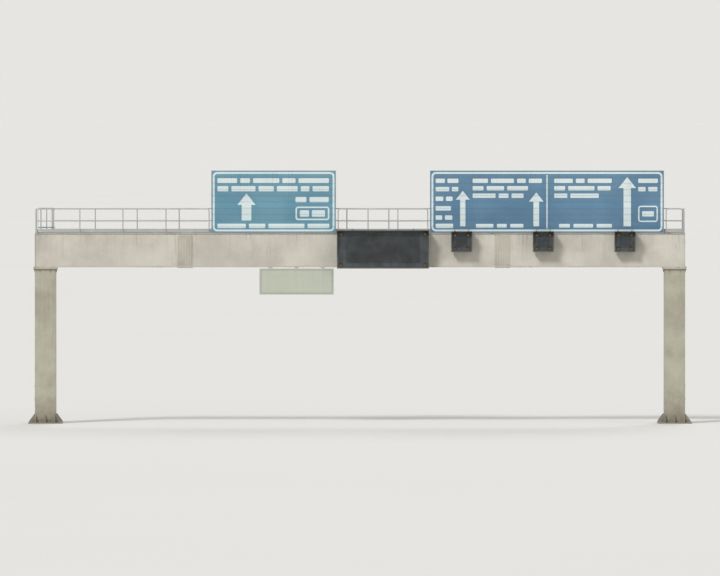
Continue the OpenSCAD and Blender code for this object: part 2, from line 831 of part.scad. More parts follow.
message_size = [message_w, message_d, message_h];
message_z = beam_z0 - message_drop;
signal_size = [signal_s, signal_d, signal_s];
signal_z = beam_z1 + signal_rise - signal_s;

module message_brackets() {
    for (s = [-1, 1], t = [-1, 1])
        bracket(message_x + s * (message_w / 2 - bracket_edge), beam_mid_z + t * bracket_step / 2);
}

module lane_signal_brackets() {
    for (x = signals)
        bracket(x, signal_z + signal_s / 2);
}

module lane_signal_faces() {
    for (x = signals)
        face(x, signal_z, signal_size);
}

// Hanging plate

hanging_z1 = beam_z0 - hanging_gap;
hanging_y = -edge_y + hanging_t;

module hanging_plate() {
    color(pale) translate([hanging_x, line_y, 0])
        block([-hanging_w / 2, -edge_y, hanging_z1 - hanging_h], [hanging_w / 2, hanging_y, hanging_z1]);
}

// Upright channels behind the plate, with cap plates under the beam's flange
module hanging_plate_channels() {
    z0 = hanging_z1 - hanging_h + hanger_z;
    edge = hanging_w / 2 - hanger_edge;
    color(zinc) translate([hanging_x, line_y + hanging_y, 0]) for (x = [-edge, 0, edge]) {
        difference() {
            block([x - hanger_w / 2, 0, z0], [x + hanger_w / 2, hanger_d, beam_z0]);
            block([x - hanger_w / 2 + hanger_t, hanger_t, z0 - 1],
                  [x + hanger_w / 2 - hanger_t, hanger_d + 1, beam_z0 + 1]);
        }
        block([x - cap_w / 2, 0, beam_z0 - bracket_t], [x + cap_w / 2, 2 * hanger_d, beam_z0]);
    }
}

// Cables

trunk_z = beam_mid_z + trunk_h;
trunk_x0 = ladder_x + ladder_w;
trunk_x1 = signals[2] + box_w;

// Where the trunking's feet start and stop, clear of the beam's splices
trunk_runs = [
    [trunk_x0 + trunk_foot, splice_left_x - splice_l],
    [splice_left_x + splice_l, splice_right_x - splice_l],
    [splice_right_x + splice_l, trunk_x1 - trunk_foot]
];

// Trunking with a lid along the rear web of the beam, on short feet
module cable_trunking() {
    y0 = web_y + trunk_gap;
    y1 = y0 + trunk_d;
    color(zinc) translate([0, line_y, 0]) {
        block([trunk_x0, y0, trunk_z], [trunk_x1, y1 - trunk_lid_t, trunk_z + trunk_h]);
        block([trunk_x0, y1 - trunk_lid_t, trunk_z - lid_lip], [trunk_x1, y1, trunk_z + trunk_h + lid_lip]);
        for (run = trunk_runs, x = spread(run[0], run[1], steps(run[0], run[1], trunk_pitch)))
            pad(x, web_y + trunk_gap / 2, trunk_z + trunk_h / 4, [trunk_foot, trunk_gap, trunk_h / 2]);
    }
}

// Boxes behind the message sign and the lane signals, each with a conduit up to the trunking
module junction_boxes() {
    z1 = trunk_z - box_drop;
    z0 = z1 - box_h;
    y0 = web_y + trunk_gap;
    y1 = y0 + box_d;
    color(zinc) translate([0, line_y, 0])
        for (x = concat(message_x, signals)) {
            block([x - box_w / 2, y0, z0], [x + box_w / 2, y1 - trunk_lid_t, z1]);
            block([x - box_w / 2 - lid_lip, y1 - trunk_lid_t, z0 - lid_lip],
                  [x + box_w / 2 + lid_lip, y1, z1 + lid_lip]);
            for (z = [z0 + trunk_foot, z1 - trunk_foot])
                pad(x, web_y + trunk_gap / 2, z - trunk_foot / 2, [box_w / 2, trunk_gap, trunk_foot]);
            translate([x, y0 + trunk_d / 2, z1]) cylinder(d = conduit_d, h = box_drop);
            for (s = [-1, 0, 1])
                translate([x + s * box_w / 4, (y0 + y1) / 2, z0 - gland_l])
                    cylinder(d = gland_d, h = gland_l);
        }
}

base(-leg_x);  // base_left
base(leg_x);  // base_right
leg(-1);  // leg_left
leg(1);  // leg_right
leg_door(-1);  // leg_door_left
leg_door(1);  // leg_door_right
beam_left();
beam_middle();
beam_right();
splice(splice_left_x);  // splice_left
splice(splice_right_x);  // splice_right
walkway_deck();
edge_rail(rail_start, rail_end, 1);  // guardrail_back
end_rail(-1);  // guardrail_end_left
end_rail(1);  // guardrail_end_right
edge_rail(-rail_end, sign_1_x0 - rail_gap, -1);  // guardrail_front_left
edge_rail(sign_1_x1 + rail_gap, sign_2_x0 - rail_gap, -1);  // guardrail_front_middle
edge_rail(sign_2_x1 + rail_gap, rail_end, -1);  // guardrail_front_right
ladder();
ladder_cage();
planks(sign_1_x0 + trim_t + seat, sign_1_x1 - trim_t - seat);  // sign_1_panel
sign_trim(sign_1_x0, sign_1_x1);  // sign_1_trim
sign_rails(sign_1_x0, sign_1_x1, sign_1_posts);  // sign_1_rails
sign_posts(sign_1_x0, sign_1_x1, sign_1_posts);
union() {  // sign_2_panel
    planks(sign_2_x0 + trim_t + seat, sign_2_mid - panel_gap / 2);
    planks(sign_2_mid + panel_gap / 2, sign_2_x1 - trim_t - seat);
}
sign_trim(sign_2_x0, sign_2_x1);  // sign_2_trim
sign_rails(sign_2_x0, sign_2_x1, sign_2_posts);  // sign_2_rails
sign_posts(sign_2_x0, sign_2_x1, sign_2_posts);
case(message_x, message_z, message_size);  // message_case
face(message_x, message_z, message_size);  // message_face
hood(message_x, message_z, message_size, message_hood);
message_brackets();
case(signals[0], signal_z, signal_size);  // lane_signal_1_case
case(signals[1], signal_z, signal_size);  // lane_signal_2_case
case(signals[2], signal_z, signal_size);  // lane_signal_3_case
hood(signals[0], signal_z, signal_size, signal_hood);  // lane_signal_1_hood
hood(signals[1], signal_z, signal_size, signal_hood);  // lane_signal_2_hood
hood(signals[2], signal_z, signal_size, signal_hood);  // lane_signal_3_hood
lane_signal_faces();
lane_signal_brackets();
hanging_plate();
hanging_plate_channels();
cable_trunking();
junction_boxes();
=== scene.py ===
import math

import bmesh
import bpy
from mathutils import Matrix, Vector


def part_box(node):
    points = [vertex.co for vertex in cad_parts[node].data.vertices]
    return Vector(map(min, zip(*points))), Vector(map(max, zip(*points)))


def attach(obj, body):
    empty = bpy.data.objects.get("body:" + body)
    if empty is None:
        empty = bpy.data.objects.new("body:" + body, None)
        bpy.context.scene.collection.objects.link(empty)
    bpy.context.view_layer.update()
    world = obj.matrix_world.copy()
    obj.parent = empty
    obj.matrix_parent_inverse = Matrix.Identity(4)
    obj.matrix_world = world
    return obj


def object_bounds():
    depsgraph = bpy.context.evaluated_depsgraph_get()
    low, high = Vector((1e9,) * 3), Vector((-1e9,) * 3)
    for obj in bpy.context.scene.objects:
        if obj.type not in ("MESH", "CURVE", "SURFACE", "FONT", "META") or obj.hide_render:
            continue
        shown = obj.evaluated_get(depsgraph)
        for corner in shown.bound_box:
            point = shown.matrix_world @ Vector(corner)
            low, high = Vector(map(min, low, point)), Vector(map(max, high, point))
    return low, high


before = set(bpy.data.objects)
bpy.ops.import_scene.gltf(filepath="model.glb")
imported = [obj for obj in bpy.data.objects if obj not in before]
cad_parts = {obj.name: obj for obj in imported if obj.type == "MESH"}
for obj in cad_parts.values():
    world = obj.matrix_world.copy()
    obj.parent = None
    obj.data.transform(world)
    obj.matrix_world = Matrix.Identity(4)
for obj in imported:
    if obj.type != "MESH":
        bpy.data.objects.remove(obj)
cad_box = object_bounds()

# The finishes, sign faces, fixings and welds of an overhead sign gantry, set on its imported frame.
# Everything is in metres: X runs along the beam, Z is up, and the sign faces look towards -Y.

X, Y, Z = Vector((1, 0, 0)), Vector((0, 1, 0)), Vector((0, 0, 1))
BOTH = (-1, 1)

# Legs, base plates, beam and splices
BASE_LIP, BASE_T, ANCHOR_INSET = 0.30, 0.05, 0.11
GUSSET_RUN, GUSSET_H, GUSSET_T, GUSSET_TOE = 0.28, 0.38, 0.02, 0.04
HEAD_T, HEAD_LIP = 0.04, 0.07
FLANGE_LIP, FLANGE_T = 0.03, 0.025
SPLICE_T, SPLICE_EDGE, SPLICE_BOLT_EDGE = 0.016, 0.085, 0.06

# Direction signs with their rails and posts, and the plate below the beam
PLANKS, PLANK_JOINT, TRIM_LIP = 10, 0.004, 0.018
SIGN_RAIL_W, SIGN_RAIL_D = 0.08, 0.05
SIGN_POSTS = {1: 3, 2: 6}
POST_W, POST_D, POST_FOOT_W, POST_FOOT_T = 0.10, 0.15, 0.23, 0.02
POST_RIB_T, POST_RIB_H, POST_RIB_D = 0.01, 0.26, 0.09
HANGING_T, HANGER_CAP_W, HANGER_CAP_T = 0.004, 0.22, 0.012

# Message sign and lane signals
CASES = ("message_case", "lane_signal_1_case", "lane_signal_2_case", "lane_signal_3_case")
BEZEL, RECESS, FRONT_T = 0.0553, 0.03, 0.012
LANTERN_R, LANTERN_WALL, LANTERN_INSET = 0.08, 0.006, 0.115

# Walkway and guardrails
DECK_PLATES, DECK_GAP, DECK_RISE = 13, 0.01, 0.045
LONG_GUARDS = ("guardrail_back", "guardrail_front_left", "guardrail_front_middle", "guardrail_front_right")
END_GUARDS = ("guardrail_end_left", "guardrail_end_right")
TUBE_R, FOOT_S, FOOT_T, GUARD_H, GUARD_PITCH = 0.024, 0.084, 0.01, 1.145, 2.0

# Ladder and its cage
STILE_X, STILE_T, STILE_D = 0.225, 0.012, 0.065
RUNG_R, RUNG_PITCH = 0.011, 0.28
LADDER_FEET, LADDER_FOOT_T, LADDER_FOOT_H = 4, 0.01, 0.08
CAGE_R, CAGE_FLARE, FLARE_H = 0.375, 0.06, 0.5
HOOP_T, HOOP_H, HOOP_PITCH = 0.008, 0.06, 0.95

# Trunking and junction boxes
TRUNKING_GAP, STRAP_PITCH, STRAP_T = 0.04, 3.0, 0.0015
JUNCTION_W, JUNCTION_H, GLAND_L, GLAND_STEP = 0.32, 0.42, 0.03, 0.08

# Places that follow from the frame
box = {name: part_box(name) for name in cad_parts}
base_lo, base_hi = box["base_left"]
line_y = (base_lo.y + base_hi.y) / 2
leg_x = {-1: (base_lo.x + base_hi.x) / 2, 1: sum(p.x for p in box["base_right"]) / 2}
leg_half_x = (base_hi.x - base_lo.x) / 2 - BASE_LIP
leg_half_y = (base_hi.y - base_lo.y) / 2 - BASE_LIP
leg_top = box["leg_left"][1].z - HEAD_T
door_lo, door_hi = box["leg_door_left"]
beam_lo, beam_hi = box["beam_middle"]
beam_bottom, beam_top = beam_lo.z, beam_hi.z
beam_x0, beam_x1 = leg_x[-1] - leg_half_x, leg_x[1] + leg_half_x
edge_y = (beam_hi.y - beam_lo.y) / 2
web_y = edge_y - FLANGE_LIP
sign_top = box["sign_1_trim"][1].z
plank_foot = box["sign_1_panel"][0].z
plank_h = (box["sign_1_panel"][1].z - plank_foot) / PLANKS
post_front = box["sign_1_rails"][1].y
post_foot_top = beam_top + POST_FOOT_T


def spread(a, b, count, inset=0.0):
    """Evenly spaced values from a to b, or from an inset inside each of them."""
    a, b = a + inset, b - inset
    return [a + (b - a) * i / (count - 1) for i in range(count)]


def spaced(a, b, pitch, inset=0.0):
    """Evenly spaced values, as many as keep the steps from a to b within a pitch."""
    return spread(a, b, max(1, math.ceil((b - a) / pitch - 1e-6)) + 1, inset)


# Shader nodes

def arithmetic(operation):
    """An operator between wires, which adds the node of an operation."""
    return lambda *values: calc(operation, *values)


class Wire:
    """A value that leaves a node. Arithmetic with it adds the nodes that work out the result."""

    __add__, __sub__, __mul__ = arithmetic("ADD"), arithmetic("SUBTRACT"), arithmetic("MULTIPLY")
    __truediv__, __pow__, __abs__ = arithmetic("DIVIDE"), arithmetic("POWER"), arithmetic("ABSOLUTE")

    def __init__(self, socket):
        self.socket = socket
        self.tree = socket.id_data

    def __rsub__(self, other):
        return calc("SUBTRACT", other, self)


class Node:
    """A shader node with its settings and inputs. Its outputs are wires, by name or number."""

    def __init__(self, tree, kind, inputs=None, **settings):
        self.node = tree.nodes.new("ShaderNode" + kind)
        for key, value in settings.items():
            setattr(self.node, key, value)
        for key, value in (inputs or {}).items():
            feed(self.node.inputs[key], value)

    def __getitem__(self, key):
        return Wire(self.node.outputs[key])


def tint(code):
    """A colour from its usual six-digit code, as the shader needs it."""
    parts = [int(code[i:i + 2], 16) / 255 for i in (1, 3, 5)]
    return (*[c / 12.92 if c <= 0.04045 else ((c + 0.055) / 1.055) ** 2.4 for c in parts], 1.0)


def feed(socket, value):
    """Puts a wire, a plain value or the code of a colour on a socket."""
    if isinstance(value, Wire):
        socket.id_data.links.new(value.socket, socket)
    else:
        socket.default_value = tint(value) if isinstance(value, str) else value


def calc(operation, *values):
    """A value worked out from up to three others, of which at least one is a wire."""
    tree = next(value.tree for value in values if isinstance(value, Wire))
    return Node(tree, "Math", dict(enumerate(values)), operation=operation)[0]


def clamped(wire):
    """The result of a sum, held between 0 and 1."""
    wire.socket.node.use_clamp = True
    return wire


def most(a, b):
    """The larger of two values."""
    return calc("MAXIMUM", a, b)


def between(value, low, high):
    """A smooth step from 0 at low to 1 at high."""
    return Node(value.tree, "MapRange", {"Value": value, "From Min": low, "From Max": high},
                interpolation_type="SMOOTHSTEP")["Result"]


def noise(vector, scale, detail=4.0, roughness=0.55):
    """A noise value between 0 and 1."""
    return Node(vector.tree, "TexNoise", {"Vector": vector, "Scale": scale, "Detail": detail,
                                          "Roughness": roughness})["Fac"]


def place(tree):
    """Where a point of the surface lies in the gantry's frame."""
    return Node(tree, "TexCoord")["Object"]


def normal(tree):
    """How far the surface looks along X, Y and Z."""
    return split(Node(tree, "NewGeometry")["Normal"])


def split(vector):
    """The three parts of a vector."""
    return Node(vector.tree, "SeparateXYZ", {0: vector})


def join(x, y, z):
    """A vector from its three parts."""
    return Node(x.tree, "CombineXYZ", {0: x, 1: y, 2: z})[0]


def blend(share, a, b):
    """Mixes two colours, from a at 0 to b at 1."""
    return Node(share.tree, "Mix", {0: share, 6: a, 7: b}, data_type="RGBA")[2]


def effect(recipe):
    """Makes a shared node group from a recipe, and gives a function that places it in a tree.

    The recipe's keywords are the group's named inputs, with their usual values, and what the
    recipe gives back are the group's named outputs."""
    group = bpy.data.node_groups.new(recipe.__name__, "ShaderNodeTree")
    usual = recipe.__kwdefaults__
    for label, value in usual.items():
        group.interface.new_socket(label, in_out="INPUT", socket_type="NodeSocketFloat").default_value = value
    given = group.nodes.new("NodeGroupInput").outputs
    made = recipe(group, **{label: Wire(given[label]) for label in usual})
    for label in made:
        group.interface.new_socket(label, in_out="OUTPUT", socket_type="NodeSocketFloat")
    ends = group.nodes.new("NodeGroupOutput").inputs
    for label, value in made.items():
        feed(ends[label], value)
    return lambda tree, **values: Node(tree, "Group", values, node_tree=group)


# Shared effects

@effect
def rain_runs(tree, *, top=0, reach=1.5, spacing=7):
    """Dirt that rain draws down a face: narrow runs that start at a height and fade below it."""
    x, y, z = split(place(tree))
    across = (x + y) * spacing
    wander = noise(join(across, 0.0, z), 0.6, 2) * 1.6
    lines = noise(join(across + wander, 0.0, z * 0.25), 1.3, 5, 0.62)
    thin = noise(join(across * 4.3, 0.0, z * 0.3), 1.0, 3)
    runs = most(between(lines, 0.54, 0.72), between(thin, 0.56, 0.76) * 0.7)
    fade = (1.0 - clamped((top - z) / reach)) ** 1.4
    return {"mask": clamped(runs * fade)}


@effect
def mottling(tree, *, scale=1):
    """Soft patches of lighter and darker finish, with finer ones inside."""
    at = place(tree)
    patch = between(noise(at, scale, 5, 0.6), 0.3, 0.7)
    return {"patch": patch, "fine": between(noise(at, scale * 24, 5, 0.65), 0.25, 0.75)}


@effect
def rust_specks(tree, *, scale=26, amount=0.5):
    """Small spots of rust, gathered where a coarser pattern allows them."""
    at = place(tree)
    spots = between(noise(at, scale, 6, 0.7), 0.66, 0.74)
    return {"mask": spots * between(noise(at, 0.9, 4), 0.5, 0.68) * amount}


@effect
def edge_rust(tree, *, low=0, high=1, reach=0.05):
    """Paint lost along the edges at two heights: bare rust where it has flaked, and a stain round it."""
    at = place(tree)
    z = split(at)[2]
    near_low, near_high = [1.0 - between(abs(z - level), 0.0, reach) for level in (low, high)]
    stands = (1.0 - between(abs(normal(tree)[2]), 0.3, 0.8)) * 0.22
    patchy = between(noise(at, 0.7, 3), 0.4, 0.65)
    wear = most(near_low, near_high) * stands * patchy + noise(at, 22.0, 6, 0.68)
    return {"flakes": between(wear, 0.72, 0.76), "stain": between(wear, 0.6, 0.76)}


@effect
def underside_soot_and_shade(tree, *, amount=0.5):
    """Soot and cobwebs on faces that look downwards, together with painted shade there."""
    down = between(normal(tree)[2] * -1.0, 0.3, 0.9)
    grit = noise(place(tree), 2.5, 6, 0.7) * 1.1 + 0.2
    return {"mask": clamped(down * grit * amount)}


@effect
def settled_dust(tree, *, amount=0.5):
    """Dust and soot that settle on faces that look upwards."""
    up = between(normal(tree)[2], 0.25, 0.95)
    grit = noise(place(tree), 5, 6, 0.7) * 0.9 + 0.35
    return {"mask": clamped(up * grit * amount)}


@effect
def rolled_paint(tree, *, scale=140):
    """The faint stipple that a roller leaves, over slow waves in the plate."""
    at = place(tree)
    return {"height": noise(at, 1.4, 2, 0.5) * 3.0 + noise(at, scale, 3, 0.5) * 0.12}


@effect
def foot_splash(tree, *, height=2):
    """Splashed dirt that is thickest at the foot and thins out upwards."""
    at = place(tree)
    level = noise(at, 2.2, 6, 0.65) * 0.9 + split(at)[2] / height
    return {"mask": 1.0 - between(level, 0.25, 1.25)}


@effect
def panel_seams(tree, *, step=2, width=0.02):
    """Weld seams at even steps along X, with the slight hollows of the plate between them."""
    part = calc("FRACT", (split(place(tree))[0] + 500.0) / step)
    near = step * 0.5 - abs(part - 0.5) * step
    line = 1.0 - between(near, 0.0, width)
    return {"line": line, "height": calc("COSINE", part * math.tau) * 0.5 + line * 0.12}


@effect
def zinc_spangle(tree, *, scale=45):
    """The crystal patches of hot-dip zinc, each a slightly different grey."""
    at = place(tree)
    cells = Node(tree, "TexVoronoi", {"Vector": at, "Scale": scale})
    grey = split(cells["Color"])[0] * 0.45 + noise(at, 1.7, 5, 0.6) * 0.55
    return {"grey": grey, "height": cells["Distance"]}


@effect
def tread_lenses(tree, *, pitch=0.035):
    """The raised lenses of chequer plate, lying alternately in two directions."""
    x, y, _ = split(place(tree))
    u, v = (x + y) / pitch, (x - y) / pitch
    odd = calc("MODULO", abs(calc("FLOOR", u) + calc("FLOOR", v)), 2.0)
    from_u, from_v = [calc("FRACT", w + 900.0) - 0.5 for w in (u, v)]
    long_way = (from_v - from_u) * odd + from_u
    short_way = (from_u - from_v) * odd + from_v
    far = (long_way / 0.46) ** 2.0 + (short_way / 0.13) ** 2.0
    return {"height": (1.0 - between(far, 0.5, 1.0)) * between(normal(tree)[2], 0.5, 0.9)}


@effect
def plank_steps(tree, *, foot=8.73, height=0.285):
    """A slightly different tone for each plank of a sign, as sheeting comes off the roll, and its joints."""
    at = place(tree)
    level = (split(at)[2] - foot) / height
    tone = Node(tree, "TexWhiteNoise", {"W": calc("FLOOR", level)}, noise_dimensions="1D")["Value"]
    above = calc("FRACT", level)
    near = calc("MINIMUM", above, (1.0 - above) * 0.35)
    ragged = noise(at, 6.0, 6, 0.7) * -0.12 + near
    return {"tone": tone, "joint": 1.0 - between(ragged, -0.06, 0.03)}


@effect
def sheeting_cells(tree, *, scale=260):
    """The small sealed cells of reflective sheeting."""
    cells = Node(tree, "TexVoronoi", {"Vector": place(tree), "Scale": scale, "Randomness": 0.15},
                 feature="DISTANCE_TO_EDGE")
    return {"edge": 1.0 - between(cells["Distance"], 0.0, 0.09)}


# Finishes

# The third colour is soot with painted shade, laid on faces that look down.
RUN_DIRT, RUST_RED, UNDERSIDE_SOOT_AND_SHADE, CHALK = "#6b6353", "#6f4e38", "#4a4740", "#cfccc0"
PAINT_DUST, ZINC_DUST, CASE_DUST = "#8f8878", "#7f7b70", "#7f7b6d"

finishes = {}


class Finish:
    """A material with constants on its shader, whose colour is laid on in layers."""

    def __init__(self, name, **sockets):
        material = bpy.data.materials.new(name)
        material.use_nodes = True
        self.tree = material.node_tree
        self.inputs = self.tree.nodes["Principled BSDF"].inputs
        for key, value in sockets.items():
            feed(self.inputs[key.replace("_", " ")], value)
        finishes[name] = material

    def base(self, share, dark, light):
        """Starts the colour between a dark and a light one."""
        self.colour = blend(share, dark, light)

    def lay(self, colour, mask, amount=None):
        """Lays a colour over those before, as thick as a mask says."""
        self.colour = blend(mask if amount is None else mask * amount, self.colour, colour)

    def done(self, rough, height, depth):
        """Puts the colour, a roughness and a relief of the given depth on the shader."""
        bump = Node(self.tree, "Bump", {"Height": height, "Distance": depth, "Strength": 1.0})
        feed(self.inputs["Base Color"], self.colour)
        feed(self.inputs["Roughness"], rough)
        feed(self.inputs["Normal"], bump["Normal"])


def painted_steel(name, light, dark, top, reach, grime, splash=0.0, seams=0.0, edges=None):
    """Old pale paint on steel plate: patchy, run down by rain, flaked along edges, speckled with rust."""
    paint = Finish(name, Metallic=0.0, IOR=1.5, Coat_Weight=0.06)
    tree = paint.tree
    spots = mottling(tree, scale=0.7)
    paint.base(spots["patch"], dark, light)
    paint.lay(dark, spots["fine"], 0.22)
    paint.lay(CHALK, mottling(tree, scale=2.2)["patch"], 0.14)
    height = rolled_paint(tree, scale=140.0)["height"]
    if seams:
        seam = panel_seams(tree, step=seams, width=0.03)
        paint.lay(dark, seam["line"], 0.2)
        height = height + seam["height"]
    runs = rain_runs(tree, top=top, reach=reach, spacing=6.0)["mask"]
    paint.lay(RUN_DIRT, runs, grime)
    tears = rain_runs(tree, top=top, reach=reach * 1.3, spacing=2.3)["mask"]
    paint.lay(RUST_RED, between(tears, 0.55, 1.0), 0.3)
    if splash:
        paint.lay(RUN_DIRT, foot_splash(tree, height=splash)["mask"], 0.62)
    rust = rust_specks(tree, scale=24.0, amount=0.75)["mask"]
    if edges:
        worn = edge_rust(tree, low=edges[0], high=edges[1], reach=edges[2])
        paint.lay(RUST_RED, worn["stain"], 0.4)
        rust = most(rust, worn["flakes"])
        height = worn["flakes"] * -0.35 + height
    paint.lay(RUST_RED, rust)
    paint.lay(PAINT_DUST, settled_dust(tree, amount=0.75)["mask"])
    # Painted shade with soot: faces that look down are darkened.
    paint.lay(UNDERSIDE_SOOT_AND_SHADE, underside_soot_and_shade(tree, amount=0.4)["mask"])
    paint.done(spots["patch"] * 0.16 + 0.5 + most(runs, rust) * 0.2, height, 0.003)


def zinc(name, light, dark, scale=45.0, tread=0.0, grime=0.3, metal=0.45):
    """Dull hot-dip zinc with its crystal patches, water marks and settled dust."""
    coat = Finish(name, Metallic=metal)
    tree = coat.tree
    crystals = zinc_spangle(tree, scale=scale)
    coat.base(crystals["grey"], dark, light)
    coat.lay("#75736b", rain_runs(tree, top=sign_top, reach=9.0, spacing=11.0)["mask"], grime)
    coat.lay("#d0d2cf", between(mottling(tree, scale=1.6)["patch"], 0.75, 1.0), 0.35)
    coat.lay(RUST_RED, rust_specks(tree, scale=34.0, amount=0.4)["mask"])
    coat.lay(ZINC_DUST, settled_dust(tree, amount=0.55)["mask"])
    height = crystals["height"] * 0.05
    if tread:
        raised = tread_lenses(tree, pitch=tread)["height"]
        coat.lay("#c3c5c3", raised, 0.35)
        height = height + raised
    coat.done(crystals["grey"] * 0.22 + (0.6 if tread else 0.42), height, 0.0015)


def plank_alloy(name):
    """Mill-finish aluminium extrusions: fine drawing lines along X, dulled and streaked."""
    metal = Finish(name, Metallic=0.6)
    tree = metal.tree
    x, y, z = split(place(tree))
    lines = noise(join(x * 0.5, y, z * 90.0), 4.0, 6, 0.7)
    metal.base(lines, "#93989a", "#b9bdbe")
    metal.lay("#888c8c", mottling(tree, scale=1.1)["patch"], 0.3)
    metal.lay("#6d6c66", rain_runs(tree, top=sign_top, reach=2.8, spacing=9.0)["mask"], 0.4)
    metal.lay(ZINC_DUST, settled_dust(tree, amount=0.6)["mask"])
    metal.done(lines * 0.25 + 0.35, lines, 0.0003)


def sheeting(name, fresh, faded, dirt, grime, planks=True):
    """Reflective sign sheeting, bleached in patches, with its cells and rain marks."""
    film = Finish(name, IOR=1.49, Coat_Weight=0.12, Coat_Roughness=0.3)
    tree = film.tree
    spots = mottling(tree, scale=0.5)
    # Besides its patches, the sheeting is made lighter towards the top of the sign.
    rise = clamped((split(place(tree))[2] - beam_top) / (sign_top - beam_top))
    film.base(clamped(spots["patch"] * 0.6 + rise * 0.4), fresh, faded)
    film.lay(dirt, spots["fine"], 0.12)
    if planks:
        plank = plank_steps(tree, foot=plank_foot, height=plank_h)
        film.lay(dirt, plank["tone"], 0.16)
        film.lay(dirt, plank["joint"], 0.3)
    runs = rain_runs(tree, top=sign_top if planks else beam_bottom, reach=2.6, spacing=8.0)["mask"]
    film.lay(dirt, runs, grime)
    cells = sheeting_cells(tree, scale=260.0)["edge"]
    film.lay(fresh, cells, 0.18)
    if not planks:
        bare = blend(runs * 0.5, blend(spots["patch"], "#979b9a", "#a9adab"), "#77766f")
        film.lay(bare, between(normal(tree)[1], -0.5, 0.0))
    film.done(spots["patch"] * 0.2 + 0.38, cells, 0.0001)


def coated_case(name, light, dark):
    """Black powder coat that the sun has chalked, with dust on what looks up."""
    coat = Finish(name, IOR=1.45)
    tree = coat.tree
    spots = mottling(tree, scale=1.3)
    coat.base(spots["patch"], dark, light)
    coat.lay("#73736b", rain_runs(tree, top=beam_top + 0.15, reach=1.7, spacing=8.0)["mask"], 0.4)
    coat.lay(CASE_DUST, settled_dust(tree, amount=0.42)["mask"])
    coat.done(spots["fine"] * 0.2 + 0.55, noise(place(tree), 900.0, 3, 0.6), 0.0002)


def display_front(name):
    """The matt dark front of a display, a little bleached and dusty."""
    front = Finish(name, IOR=1.45)
    spots = mottling(front.tree, scale=2.2)
    front.base(spots["patch"], "#303437", "#43484b")
    front.lay("#5c5d58", rain_runs(front.tree, top=beam_top, reach=1.6, spacing=14.0)["mask"], 0.25)
    front.done(spots["fine"] * 0.2 + 0.4, spots["fine"], 0.0002)


def lens(name, light, dark):
    """A small clear or coloured lens with faint ribs."""
    glass = Finish(name, IOR=1.49, Coat_Weight=0.5, Coat_Roughness=0.08)
    spots = mottling(glass.tree, scale=9.0)
    glass.base(spots["patch"], dark, light)
    ribs = calc("SINE", split(place(glass.tree))[0] * 900.0)
    glass.done(spots["fine"] * 0.15 + 0.15, ribs, 0.0004)


def fixing_steel(name, light, dark):
    """Zinc-plated bolts, with patches of red rust."""
    steel = Finish(name, Metallic=0.55)
    at = place(steel.tree)
    steel.base(between(noise(at, 3.1, 4), 0.35, 0.7), dark, light)
    rust = between(noise(at, 7.0, 6, 0.7), 0.52, 0.68) * 0.55
    steel.lay("#6e4a33", rust)
    steel.lay(ZINC_DUST, settled_dust(steel.tree, amount=0.35)["mask"])
    steel.done(rust * 0.5 + 0.4, noise(at, 240.0, 3), 0.0004)


painted_steel("beam_paint", "#c4c0b4", "#aea99d", beam_top, 1.7, 0.5, seams=2.05,
              edges=(beam_bottom, beam_top, 0.09))
# The legs, their base plates and doors are given a darker paint than the beam.
painted_steel("leg_paint", "#aaa694", "#948f7e", leg_top, 5.5, 0.5, splash=2.4,
              edges=(BASE_T, leg_top + HEAD_T, 0.14))
painted_steel("base_paint", "#9f9b89", "#827d6c", 0.6, 0.9, 0.5, splash=1.6,
              edges=(base_lo.z, base_hi.z, 0.09))
painted_steel("door_paint", "#a9a592", "#908c79", 1.9, 1.2, 0.6, splash=2.2,
              edges=(door_lo.z, door_hi.z, 0.06))
painted_steel("splice_paint", "#bbb7aa", "#a5a092", beam_top - 0.1, 1.4, 0.6,
              edges=(beam_bottom + SPLICE_EDGE, beam_top - SPLICE_EDGE, 0.05))
painted_steel("bracket_paint", "#b5b1a3", "#9b9685", beam_top, 1.5, 0.6)
painted_steel("painted_fixings", "#b8b4a5", "#9d9887", beam_top, 9.0, 0.3)
fixing_steel("steel_fixings", "#9b9d9b", "#7e807e")
zinc("rail_zinc", "#b9bbb9", "#9a9d9c")
zinc("post_zinc", "#b2b4b2", "#8f9291", 30.0)
zinc("ladder_zinc", "#aeb0ae", "#8d908f", 40.0, grime=0.45)
zinc("deck_zinc", "#a3a5a2", "#828581", 35.0, tread=0.035, grime=0.2, metal=0.2)
zinc("duct_zinc", "#b5b7b5", "#979a99", 55.0, grime=0.4)
plank_alloy("sign_alloy")
sheeting("sheeting_blue_1", "#4f859b", "#6b9aab", "#4f5f66", 0.42)
sheeting("sheeting_blue_2", "#476f8d", "#5f89a4", "#49565f", 0.42)
sheeting("sheeting_white", "#cad8da", "#dbe4e2", "#8d999a", 0.4)
sheeting("plate_face", "#abaf9f", "#bbbfb0", "#8b8c7c", 0.35, planks=False)
sheeting("plate_grey", "#8c9088", "#9da19a", "#77786d", 0.3, planks=False)
coated_case("case_coat", "#595e5e", "#474c4d")
coated_case("hood_coat", "#555a5b", "#424748")
display_front("display_front")
lens("pixel_lens", "#5a5a50", "#3b3c38")
lens("amber_lens", "#94642a", "#6f4818")


def dress(finish, *names):
    """Gives nodes of the frame their finish."""
    for name in names:
        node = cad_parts[name]
        if not node.material_slots:
            node.data.materials.append(finishes[finish])
        for slot in node.material_slots:
            slot.material = finishes[finish]


